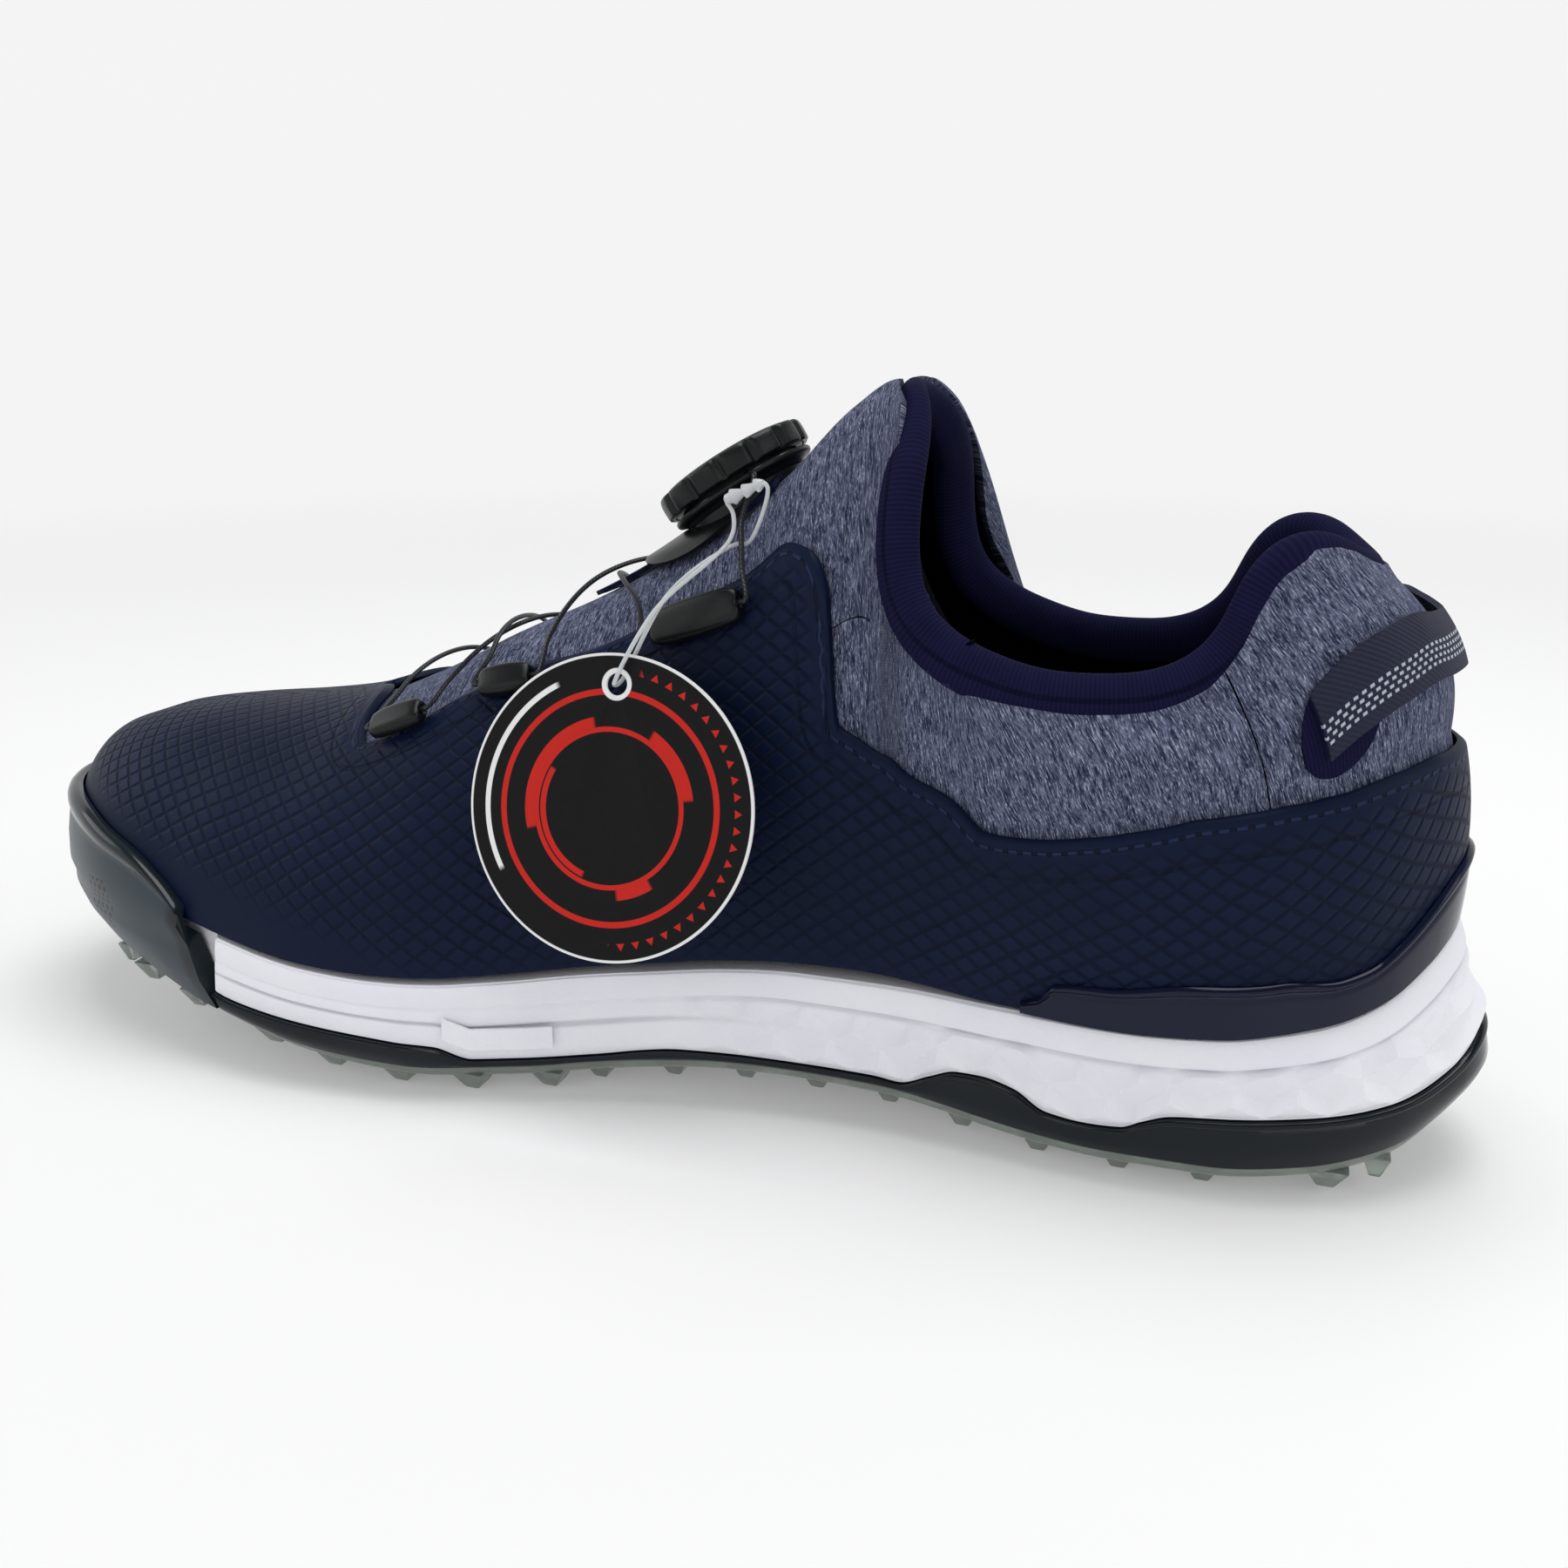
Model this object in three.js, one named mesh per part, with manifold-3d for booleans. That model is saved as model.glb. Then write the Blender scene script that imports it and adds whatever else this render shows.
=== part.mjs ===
// A golf shoe for the right foot, closed by a dial and a steel lace, built as separate pieces.
// Millimetres. +Z is up, the toe points to -Y, the heel to +Y, and the inner (medial) side is +X.
// The origin is on the ground, in the middle of the shoe's length and width.
import * as THREE from "three";
import { mergeVertices } from "three/addons/utils/BufferGeometryUtils.js";
import Module from "manifold-3d";

const wasm = await Module();
wasm.setup();

// ---------- driving dimensions ----------
const shoeLength = 302; // heel to toe
const shoeWidth = 104.4; // across the ball of the foot
const tongueHeight = 136; // ground to the top of the tongue
const gap = 0.3; // clearance between pieces that touch
const upperInner = 0.3; // inner face of the navy upper, out from the last's surface
const upperOuter = 1.7; // outer face of the navy upper
const linerOuter = -3.6; // outer face of the lining
const linerInner = -4.6; // inner face of the lining
const bootieInner = -3; // inner face of the knit tongue and collar
const bootieOuter = -0.4; // outer face of the knit where the navy upper covers it
const bindingWidth = 12.5; // how far the collar binding reaches down from the rim
const upperSeat = 3.2; // inset of the upper from the edge of the midsole
const boardThickness = 1.5;
const socklinerThickness = 4;
const baseThickness = 2.6; // clear outsole, without its lugs
const lugHeight = 3.4;
const rimThickness = 3;
const dialDiameter = 31;
const dialThickness = 6.6;
const laceDiameter = 1;
const guideBore = 1.7;
const tagDiameter = 55.6;
const tagThickness = 0.6;
const stringDiameter = 0.8;

const medial = 1;
const lateral = -1;

// ---------- curves of the last ----------
// The knots below are drawn on a last that is 302 long, 104.4 wide and 136 high,
// and every point is scaled from it to the driving dimensions.
const drawn = { length: 302, width: 104.4, height: 136 };
const scaleX = shoeWidth / drawn.width;
const scaleY = shoeLength / drawn.length;
const scaleZ = tongueHeight / drawn.height;
const half = drawn.length / 2;

// A smooth curve through [place, value] knots that never overshoots them.
function curve(knots) {
  const x = knots.map((k) => k[0]);
  const y = knots.map((k) => k[1]);
  const last = x.length - 1;
  const h = x.slice(1).map((v, i) => v - x[i]);
  const d = h.map((v, i) => (y[i + 1] - y[i]) / v);
  const m = x.map((_, i) => {
    if (i === 0) return d[0];
    if (i === last) return d[last - 1];
    if (d[i - 1] * d[i] <= 0) return 0;
    const before = (2 * h[i] + h[i - 1]) / d[i - 1];
    const after = (h[i] + 2 * h[i - 1]) / d[i];
    return (3 * (h[i - 1] + h[i])) / (before + after);
  });
  return (at) => {
    const t = THREE.MathUtils.clamp(at, x[0], x[last]);
    let i = 0;
    while (i < last - 1 && t > x[i + 1]) i++;
    const s = (t - x[i]) / h[i];
    const a = (1 + 2 * s) * (1 - s) ** 2 * y[i] + s * (1 - s) ** 2 * h[i] * m[i];
    return a + s * s * (3 - 2 * s) * y[i + 1] + s * s * (s - 1) * h[i] * m[i + 1];
  };
}

// Columns run from 0 at the tip of the toe to 1 at the back of the heel, closer together
// at both ends. A column is named by its station: where it meets the sole, toe -151 to heel 151.
const stationOf = (u) => -half * Math.cos(Math.PI * u);
const columnAt = (station) => Math.acos(THREE.MathUtils.clamp(-station / half, -1, 1)) / Math.PI;

const soleWidth = {
  [medial]: curve([
    [0, 4], [0.05, 14.5], [0.1, 24.5], [0.15, 33.5], [0.2, 41], [0.25, 46.5], [0.3, 50.5], [0.35, 52.2],
    [0.4, 50.3], [0.45, 43], [0.5, 35.5], [0.55, 32.3], [0.6, 31.7], [0.65, 34], [0.7, 35.8],
    [0.75, 35.2], [0.8, 31.6], [0.85, 26], [0.9, 18.3], [0.95, 9.6], [1, 0],
  ]),
  [lateral]: curve([
    [0, 4], [0.05, -4.5], [0.1, -13], [0.15, -21.5], [0.2, -29.5], [0.25, -37], [0.3, -43.5],
    [0.35, -48.5], [0.4, -51.3], [0.45, -52.2], [0.5, -50.6], [0.6, -45], [0.7, -39.3],
    [0.75, -36.3], [0.8, -32.3], [0.85, -26.5], [0.9, -18.3], [0.95, -9.5], [1, 0],
  ]),
};

// Heights along the shoe, by station.
const soleBottom = curve([
  [-151, 20], [-139, 18.5], [-132, 17], [-118, 15], [-107, 13], [-96, 11.3], [-86, 9.4], [-75, 7.3],
  [-66, 5.8], [-50, 4], [-38, 3.4], [-25, 3.6], [-7, 5], [16, 6.8], [30, 7], [45, 6.6], [59, 5.4],
  [75, 3.8], [87, 3.4], [104, 3.4], [121, 4.2], [137, 7.2], [147, 12.5], [151, 15],
]);
const rimTop = curve([
  [-151, 24], [-92, 18], [-84, 15.6], [-75, 14.3], [-60, 12.8], [-46, 11.6], [-38, 10.9], [-31, 8],
  [-22, 8.3], [-9, 9.2], [8, 11.4], [30, 11.5], [45, 11.3], [50, 10.8], [56, 13.4], [61, 15.5],
  [66, 15.8], [72, 14.7], [78, 11.6], [84, 11.1], [91, 11.5], [94.5, 13.2], [99, 14.9], [105, 15.6],
  [125, 17.1], [135, 18.8], [145, 23], [151, 27],
]);
const featherHeight = curve([
  [-151, 33], [-120, 31], [-95, 28.8], [-85, 27], [-75, 25.3], [-65, 24.1], [-50, 23.2], [-38, 23.2],
  [-28, 23.7], [-15, 25], [0, 26.3], [15, 28], [30, 29], [90, 29], [105, 29.8], [115, 31],
  [124, 32.5], [131, 34.5], [137, 37], [142, 40], [147, 43.5], [151, 46],
]);
const footbed = curve([[-151, 25], [-110, 20], [-60, 15], [-20, 15.5], [20, 20], [60, 22.5], [151, 24]]);
const featherInset = curve([[-151, 0.8], [-120, 0.6], [-95, 1.5], [100, 1.5], [125, 3], [140, 5.5], [151, 7]]);
const bottomInset = curve([[-151, 6], [-120, 5], [-80, 3], [0, 2.2], [100, 2.2], [151, 3]]);
const widest = curve([[-151, 30], [-110, 24], [-90, 16], [-60, 11], [0, 12], [100, 14], [151, 21]]);

// The top line: the ridge of the vamp and tongue, then the rim of the collar back to the heel.
// [station, x, y, z]; the ridge ends, and the collar opens, at the tongue's top.
const tongueTop = 40;
const ridge = [
  [-151, 0, -133, 57.2], [-140, 0, -125, 60], [-120, 0, -111, 62.4], [-100, 0, -94, 64.6], [-80, 0, -78, 67.6],
  [-60, 0, -60, 74.5], [-40, 0, -40, 84.5], [-20, 0, -20, 93.5], [-10, 0, -10, 98.9], [0, 0, 0, 105.3],
  [10, 0, 10, 111.8], [20, 0, 19, 118.2], [34, 0, 33, 131.5], [tongueTop, 0, 41, 136],
];
const rimLine = {
  [medial]: [
    [46, 13.5, 46, 135.2], [50, 21, 48.4, 129], [55, 26.5, 49, 121.5], [60, 29, 49, 113], [66, 31, 50.5, 103],
    [72, 32.5, 55, 97.5], [80, 33, 64, 93], [90, 32, 76, 90.3], [100, 30.5, 87, 90.6], [110, 28.5, 95.5, 93.2],
    [118, 27, 100.8, 99], [124, 25.8, 103, 105.5], [130, 24, 106.5, 111], [136, 20.5, 111.5, 113.6],
    [142, 15.5, 115.5, 113], [147, 9, 119.5, 110], [151, 0, 123, 107.5],
  ],
  [lateral]: [
    [46, -14, 43.5, 133], [50, -21, 46, 127], [55, -26.5, 46.5, 120], [60, -29, 46.5, 111.5],
    [66, -30.5, 48, 101.5], [72, -31.8, 52.5, 96], [80, -32, 61.5, 91.5], [90, -31, 74, 88.6],
    [100, -29.5, 85, 88.9], [110, -28, 93.5, 91.5], [118, -26.5, 99, 97], [124, -25.3, 101.5, 103.5],
    [130, -23.5, 105.5, 109.5], [136, -20.3, 111, 112.3], [142, -15.5, 115.5, 112], [147, -9, 119.5, 109.5],
    [151, 0, 123, 107.5],
  ],
};
const rims = {};
for (const side of [medial, lateral]) {
  const knots = [...ridge, ...rimLine[side]];
  rims[side] = [1, 2, 3].map((axis) => curve(knots.map((k) => [k[0], k[axis]])));
}

function topLine(side, station) {
  const own = rims[side].map((f) => f(station));
  if (station > tongueTop + 0.01) return own;
  const other = rims[-side].map((f) => f(station));
  return own.map((value, axis) => (value + other[axis]) / 2);
}

// How the wall between the feather line and the top line is shaped.
const archShare = curve([[-151, 1], [40, 1], [50, 0.6], [60, 0.2], [66, 0], [151, 0]]);
const archFullness = curve([
  [-151, 0.72], [-120, 0.8], [-60, 0.95], [-10, 0.95], [20, 0.62], [34, 0.45], [45, 0.36], [151, 0.36],
]);
const wallBulge = curve([
  [-151, 1.5], [-130, 1.2], [-100, 0], [0, 0], [40, 1], [60, 3], [90, 4.5], [120, 3.5], [151, 2],
]);
const wallLean = curve([[-151, 3], [60, 4], [110, 3], [151, 2.2]]);

// ---------- the last's surface ----------
function edge(side, u) {
  return new THREE.Vector2(soleWidth[side](u) * scaleX, stationOf(u) * scaleY);
}

function outward(side, u) {
  if (u < 1e-6) return new THREE.Vector2(0, -1);
  if (u > 1 - 1e-6) return new THREE.Vector2(0, 1);
  const along = edge(side, Math.min(u + 1e-3, 1)).sub(edge(side, Math.max(u - 1e-3, 0)));
  return new THREE.Vector2(along.y, -along.x).multiplyScalar(side).normalize();
}

// A point inside the edge of the sole, seen from above.
function footprint(side, u, inset, z) {
  const p = edge(side, u).addScaledVector(outward(side, u), -inset);
  return new THREE.Vector3(p.x, p.y, z);
}

// The upper's surface: v is 0 at the feather line, 1 at the top line and -1 at the footbed's edge.
function wall(side, u, v) {
  const station = stationOf(u);
  const seat = featherInset(station) + upperSeat;
  const foot = footprint(side, u, seat, featherHeight(station) * scaleZ);
  if (v < 0) {
    const bed = footprint(side, u, seat + upperSeat, footbed(station) * scaleZ);
    return foot.lerp(bed, Math.min(-v, 1));
  }
  const [x, y, z] = topLine(side, station);
  const reach = new THREE.Vector3(x * scaleX, y * scaleY, z * scaleZ).sub(foot);
  if (v > 1 - 1e-6) return foot.add(reach);
  const arch = archShare(station);
  const angle = (v * Math.PI) / 2;
  const inward = arch * (1 - Math.cos(angle) ** archFullness(station)) + (1 - arch) * v ** wallLean(station);
  const rise = arch * Math.sin(angle) + (1 - arch) * v;
  const n = outward(side, u).multiplyScalar(wallBulge(station) * Math.sin(Math.PI * v));
  return foot.add(new THREE.Vector3(reach.x * inward + n.x, reach.y * inward + n.y, reach.z * rise));
}

const isZipped = (u, v) => v > 1 - 1e-6 && stationOf(u) < tongueTop + 0.01;

function wallNormal(side, u, v) {
  const e = 2e-3;
  const one = (sd) => {
    const along = wall(sd, Math.min(u + e, 1), v).sub(wall(sd, Math.max(u - e, 0), v));
    const up = wall(sd, u, Math.min(v + e, 1)).sub(wall(sd, u, Math.max(v - e, -1)));
    return along.cross(up).multiplyScalar(sd).normalize();
  };
  const n = one(side);
  if (isZipped(u, v)) n.add(one(-side));
  if (u < 1e-6 || u > 1 - 1e-6 || isZipped(u, v)) n.x = 0;
  return n.normalize();
}

const skin = (side, u, v, offset) => wall(side, u, v).addScaledVector(wallNormal(side, u, v), offset);

// The v at which a column reaches a height on the drawn last.
function vAtHeight(side, u, z) {
  let low = 0;
  let high = 1;
  for (let i = 0; i < 30; i++) {
    const mid = (low + high) / 2;
    if (wall(side, u, mid).z < z * scaleZ) low = mid;
    else high = mid;
  }
  return (low + high) / 2;
}

// ---------- making meshes ----------
// Points and triangles, as a clean geometry whose faces point out.
function closed(points, triangles) {
  const flat = new Float32Array(triangles.flat().flatMap((i) => points[i].toArray()));
  const loose = new THREE.BufferGeometry();
  loose.setAttribute("position", new THREE.BufferAttribute(flat, 3));
  const merged = mergeVertices(loose, 2e-3);
  const p = merged.attributes.position.array;
  const index = [];
  let volume = 0;
  const [a, b, c] = [new THREE.Vector3(), new THREE.Vector3(), new THREE.Vector3()];
  for (let i = 0; i < merged.index.count; i += 3) {
    const [i0, i1, i2] = merged.index.array.slice(i, i + 3);
    if (i0 === i1 || i1 === i2 || i2 === i0) continue;
    index.push(i0, i1, i2);
    a.fromArray(p, i0 * 3);
    b.fromArray(p, i1 * 3);
    c.fromArray(p, i2 * 3);
    volume += a.dot(b.cross(c));
  }
  if (volume < 0) for (let i = 0; i < index.length; i += 3) [index[i], index[i + 1]] = [index[i + 1], index[i]];
  merged.setIndex(index);
  return merged;
}

function toSolid(geometry) {
  const bare = geometry.clone();
  bare.deleteAttribute("normal");
  bare.deleteAttribute("uv");
  const merged = mergeVertices(bare, 1e-3);
  const triVerts = new Uint32Array(merged.index.array);
  const vertProperties = merged.attributes.position.array;
  return new wasm.Manifold(new wasm.Mesh({ numProp: 3, vertProperties, triVerts }));
}

function toGeometry(solid) {
  const { numProp, vertProperties, triVerts } = solid.getMesh();
  const points = [];
  for (let i = 0; i < vertProperties.length; i += numProp) {
    points.push(new THREE.Vector3(vertProperties[i], vertProperties[i + 1], vertProperties[i + 2]));
  }
  const triangles = [];
  for (let i = 0; i < triVerts.length; i += 3) triangles.push([...triVerts.slice(i, i + 3)]);
  return closed(points, triangles);
}

const cut = (geometry, ...tools) =>
  toGeometry(tools.reduce((solid, tool) => solid.subtract(toSolid(tool)), toSolid(geometry)));
const join = (geometry, ...others) =>
  toGeometry(others.reduce((solid, other) => solid.add(toSolid(other)), toSolid(geometry)));

// Closed outlines of equal length, joined one after another. A loop joins the last to the first.
function loft(outlines, loop = false) {
  const n = outlines[0].length;
  const points = outlines.flat();
  const triangles = [];
  const sections = loop ? outlines.length : outlines.length - 1;
  for (let s = 0; s < sections; s++) {
    const t = (s + 1) % outlines.length;
    for (let i = 0; i < n; i++) {
      const j = (i + 1) % n;
      triangles.push([s * n + i, t * n + i, s * n + j], [s * n + j, t * n + i, t * n + j]);
    }
  }
  if (!loop) {
    const end = (outlines.length - 1) * n;
    for (let i = 1; i < n - 1; i++) triangles.push([0, i, i + 1], [end, end + i + 1, end + i]);
  }
  return closed(points, triangles);
}

// The same, where the first and last outlines close up to a line and need no cap.
function loftClosedEnds(outlines) {
  const n = outlines[0].length;
  const points = outlines.flat();
  const triangles = [];
  for (let s = 0; s < outlines.length - 1; s++) {
    for (let i = 0; i < n; i++) {
      const j = (i + 1) % n;
      const [a, b, c, d] = [s * n + i, s * n + j, (s + 1) * n + i, (s + 1) * n + j];
      triangles.push([a, c, b], [b, c, d]);
    }
  }
  return closed(points, triangles);
}

// A skin of the last between two offsets and two v curves. Each strip is a list of [side, u]
// columns; where a strip reaches the ridge it shares its points with the other side's strip.
function shell({ strips, rows, low, high, inner, outer, ring = false }) {
  const points = [];
  const triangles = [];
  const value = (f, ...args) => (typeof f === "function" ? f(...args) : f);
  for (const columns of strips) {
    const start = points.length;
    const n = columns.length;
    const zipped = [];
    for (const [side, u] of columns) {
      const v0 = value(low, side, u);
      const v1 = value(high, side, u);
      zipped.push(isZipped(u, v1));
      for (let j = 0; j <= rows; j++) {
        const v = v0 + ((v1 - v0) * j) / rows;
        points.push(skin(side, u, v, value(outer, side, u, v)), skin(side, u, v, value(inner, side, u, v)));
      }
    }
    const at = (i, j, k) => start + ((i % n) * (rows + 1) + j) * 2 + k;
    const quads = [];
    for (let i = 0; i < (ring ? n : n - 1); i++) {
      for (let j = 0; j < rows; j++) {
        quads.push([at(i, j, 0), at(i + 1, j, 0), at(i + 1, j + 1, 0), at(i, j + 1, 0)]);
        quads.push([at(i, j, 1), at(i, j + 1, 1), at(i + 1, j + 1, 1), at(i + 1, j, 1)]);
      }
      quads.push([at(i, 0, 1), at(i + 1, 0, 1), at(i + 1, 0, 0), at(i, 0, 0)]);
      if (zipped[i] && zipped[(i + 1) % n]) continue;
      quads.push([at(i, rows, 0), at(i + 1, rows, 0), at(i + 1, rows, 1), at(i, rows, 1)]);
    }
    if (!ring) {
      for (let j = 0; j < rows; j++) {
        quads.push([at(0, j, 0), at(0, j + 1, 0), at(0, j + 1, 1), at(0, j, 1)]);
        quads.push([at(n - 1, j, 1), at(n - 1, j + 1, 1), at(n - 1, j + 1, 0), at(n - 1, j, 0)]);
      }
    }
    const backwards = columns[0][0] * (columns[1][1] - columns[0][1]) < 0;
    for (const q of quads) {
      if (backwards) q.reverse();
      triangles.push([q[0], q[1], q[2]], [q[0], q[2], q[3]]);
    }
  }
  return closed(points, triangles);
}

// The columns between two stations: the last's evenly spaced ones, and any extra stations named.
const evenColumns = Array.from({ length: 31 }, (_, i) => i / 30);
function span(side, from, to, extra = []) {
  const ends = [columnAt(from), columnAt(to)];
  const [a, b] = [Math.min(...ends), Math.max(...ends)];
  const named = [...ends, ...extra.map(columnAt)].filter((u) => u >= a && u <= b);
  const free = evenColumns.filter((u) => u > a && u < b && named.every((n) => Math.abs(n - u) > 0.006));
  const sorted = [...new Set([...named, ...free])].sort((p, q) => (from < to ? p - q : q - p));
  return sorted.map((u) => [side, u]);
}

// Columns round the toe or the heel, from a medial station to the same lateral one.
const around = (station, end, extra = []) => [
  ...span(medial, station, end, extra),
  ...span(lateral, end, station, extra).slice(1),
];

const root = new THREE.Group();

function add(name, geometry, colour, roughness, metalness = 0, parent = root) {
  geometry.computeVertexNormals();
  const material = new THREE.MeshStandardMaterial({ color: colour, roughness, metalness });
  const mesh = new THREE.Mesh(geometry, material);
  mesh.name = name;
  parent.add(mesh);
  return mesh;
}

const navy = 0x1a2548;
const heather = 0x6b7299;
const bindingNavy = 0x1e1d45;
const black = 0x101216;
const white = 0xf2f2f5;
const gunmetal = 0x1d2530;
const slate = 0x3a4652;
const smoke = 0x6b7270;
const dialGreen = 0x1b211f;

// ---------- sole ----------
const waveStations = [-60, -46, -35, -31, -28, 50, 56, 61, 66, 72, 78, 84, 91, 95, 99, 105];
const soleColumns = span(medial, -151, 151, [-95, -87.5, -84, -70, ...waveStations]).map((c) => c[1]);

// How far the sole's side lies inside its widest outline at a height on the drawn last.
function sideInset(station, z) {
  const w = widest(station);
  const bottom = soleBottom(station);
  const top = featherHeight(station);
  if (z < w) return bottomInset(station) * ((w - z) / (w - bottom)) ** 1.5;
  return featherInset(station) * ((z - w) / (top - w)) ** 1.3;
}

// Joins a half outline on the medial side to its mirror on the lateral side, for each column.
function across(halfOutline, us = soleColumns) {
  return us.map((u) => {
    const near = halfOutline(medial, u);
    const far = halfOutline(lateral, u).reverse();
    return [...near, ...far];
  });
}

function outsoleBase() {
  const plate = loftClosedEnds(
    across((side, u) => {
      const s = stationOf(u);
      const bottom = soleBottom(s) * scaleZ;
      const inset = bottomInset(s);
      return [
        footprint(side, u, inset + 2.5, bottom),
        footprint(side, u, inset + 0.4, bottom + 0.9),
        footprint(side, u, inset, bottom + baseThickness),
      ];
    }),
  );
  const lugs = [];
  for (let s = -124; s <= 140; s += 14.5) {
    const u = columnAt(s);
    const widthHere = soleWidth[medial](u) - soleWidth[lateral](u);
    const count = Math.max(2, Math.round(widthHere / 27));
    for (let i = 0; i < count; i++) {
      const f = (i + 0.5) / count;
      const inset = 9;
      const x0 = footprint(lateral, u, inset, 0).x;
      const x1 = footprint(medial, u, inset, 0).x;
      const x = x0 + ((x1 - x0) * (f - 0.5 / count)) / (1 - 1 / count);
      const y = s * scaleY + (i % 2 ? 3 : -3);
      lugs.push(lug(x, y, soleBottom(s + (i % 2 ? 3 : -3)) * scaleZ, i % 2 ? 1 : 0.85));
    }
  }
  return join(plate, ...lugs);
}

// A four-sided cleat that tapers down from the sole.
function lug(x, y, z, size) {
  const tip = Math.max(z - lugHeight, 0);
  const ring = (w, d, height) => [
    new THREE.Vector3(x - w, y - d, height),
    new THREE.Vector3(x + w, y - d, height),
    new THREE.Vector3(x + w, y + d, height),
    new THREE.Vector3(x - w, y + d, height),
  ];
  return loft([ring(4.6 * size, 3.8 * size, z + 1), ring(4.2 * size, 3.4 * size, z), ring(1.9, 1.3, tip)]);
}

// Where the toe bumper ends and the rim begins; the joint leans back towards the ground.
const bumperEnd = (z) => -95 + (30 - z) * 0.5;

function outsoleRim() {
  const path = around(-70, 151, waveStations);
  const section = ([side, u]) => {
    const s = stationOf(u);
    const low = soleBottom(s) + (baseThickness + gap) / scaleZ;
    const top = rimTop(s);
    const point = (inset, z) => footprint(side, u, sideInset(s, z) + inset, z * scaleZ);
    return [
      point(0.2, low), point(0, (low + top) / 2), point(-0.2, top - 1), point(0.5, top),
      point(rimThickness, top), point(rimThickness, low),
    ];
  };
  const sections = path.map(section);
  // The two front ends lean with the bumper.
  const toFront = (side) => {
    const steps = 3;
    return Array.from({ length: steps }, (_, k) => {
      const share = 1 - k / steps;
      const s0 = -70;
      const low = soleBottom(s0) + (baseThickness + gap) / scaleZ;
      const levels = (top) => [low, (low + top) / 2, top - 1, top, top, low];
      const insets = [0.2, 0, -0.2, 0.5, rimThickness, rimThickness];
      return insets.map((inset, i) => {
        const z0 = levels(rimTop(s0))[i];
        const end = bumperEnd(z0) + gap / scaleY;
        const s = s0 + (end - s0) * share;
        const lowHere = soleBottom(s) + (baseThickness + gap) / scaleZ;
        const top = rimTop(s);
        const z = [lowHere, (lowHere + top) / 2, top - 1, top, top, lowHere][i];
        return footprint(side, columnAt(s), sideInset(s, z) + inset, z * scaleZ);
      });
    });
  };
  return loft([...toFront(medial), ...sections, ...toFront(lateral).reverse()]);
}

function midsole() {
  const behindBumper = curve([[-151, 5], [-87.5, 5], [-84, 1], [151, 1]]);
  const behindRim = curve([[-151, 5], [-84, 5], [-80, rimThickness + gap + 0.4], [151, rimThickness + gap + 0.4]]);
  const body = loftClosedEnds(
    across((side, u) => {
      const s = stationOf(u);
      const bottom = soleBottom(s) * scaleZ + baseThickness + gap;
      const top = featherHeight(s) * scaleZ;
      const step = Math.max(rimTop(s) * scaleZ + gap, bottom + 0.5);
      const out = behindBumper(s);
      const pocket = footbed(s) * scaleZ - boardThickness - 2 * gap;
      const side1 = (z, extra) => footprint(side, u, sideInset(s, z / scaleZ) + extra, z);
      const mid = (step + top) / 2;
      return [
        side1(bottom, behindRim(s)),
        side1(step, behindRim(s)),
        side1(step, out),
        side1(mid, out - 0.3),
        side1(top - 1, out - 0.2),
        side1(top, out + 0.4),
        footprint(side, u, featherInset(s) + upperSeat - linerOuter - gap, top),
        footprint(side, u, featherInset(s) + upperSeat - linerOuter - gap, pocket),
      ];
    }),
  );
  return cut(body, shank(gap));
}

// The stiffening plate in the waist, grown by a margin when it is used as a cutter.
function shank(margin) {
  const front = -28;
  const back = 66;
  const steps = 8;
  const outlines = [];
  for (let i = 0; i <= steps; i++) {
    const s = front + ((back - front) * i) / steps;
    const z = soleBottom(s) * scaleZ + baseThickness + 2 * gap;
    const w = (13 - 3 * Math.sin((Math.PI * i) / steps)) * scaleX + margin;
    const y = s * scaleY + (i === 0 ? -margin : i === steps ? margin : 0);
    const low = margin ? z - 2 : z;
    const high = z + 1.8 + margin;
    outlines.push([
      new THREE.Vector3(-w - 4, y, low), new THREE.Vector3(w - 4, y, low),
      new THREE.Vector3(w - 4, y, high), new THREE.Vector3(-w - 4, y, high),
    ]);
  }
  return loft(outlines);
}

function flatBoard(inset, low, high) {
  return loftClosedEnds(
    across((side, u) => {
      const s = stationOf(u);
      const z = footbed(s) * scaleZ;
      const i = featherInset(s) + upperSeat - linerOuter + inset;
      return [footprint(side, u, i, z + low), footprint(side, u, i, z + high)];
    }, evenColumns),
  );
}

// A thin plain plaque on the medial side of the midsole.
function badge() {
  const outlines = [];
  for (const s of [-36, -31, -26, -21, -16]) {
    const u = columnAt(s);
    const low = rimTop(s) + 3;
    const high = low + 4.2;
    const point = (z, out) => footprint(medial, u, sideInset(s, z) + 1 - out, z * scaleZ);
    outlines.push([point(low, 0.9), point(low, 1.5), point(high, 1.5), point(high, 0.9)]);
  }
  return loft(outlines);
}

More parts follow.
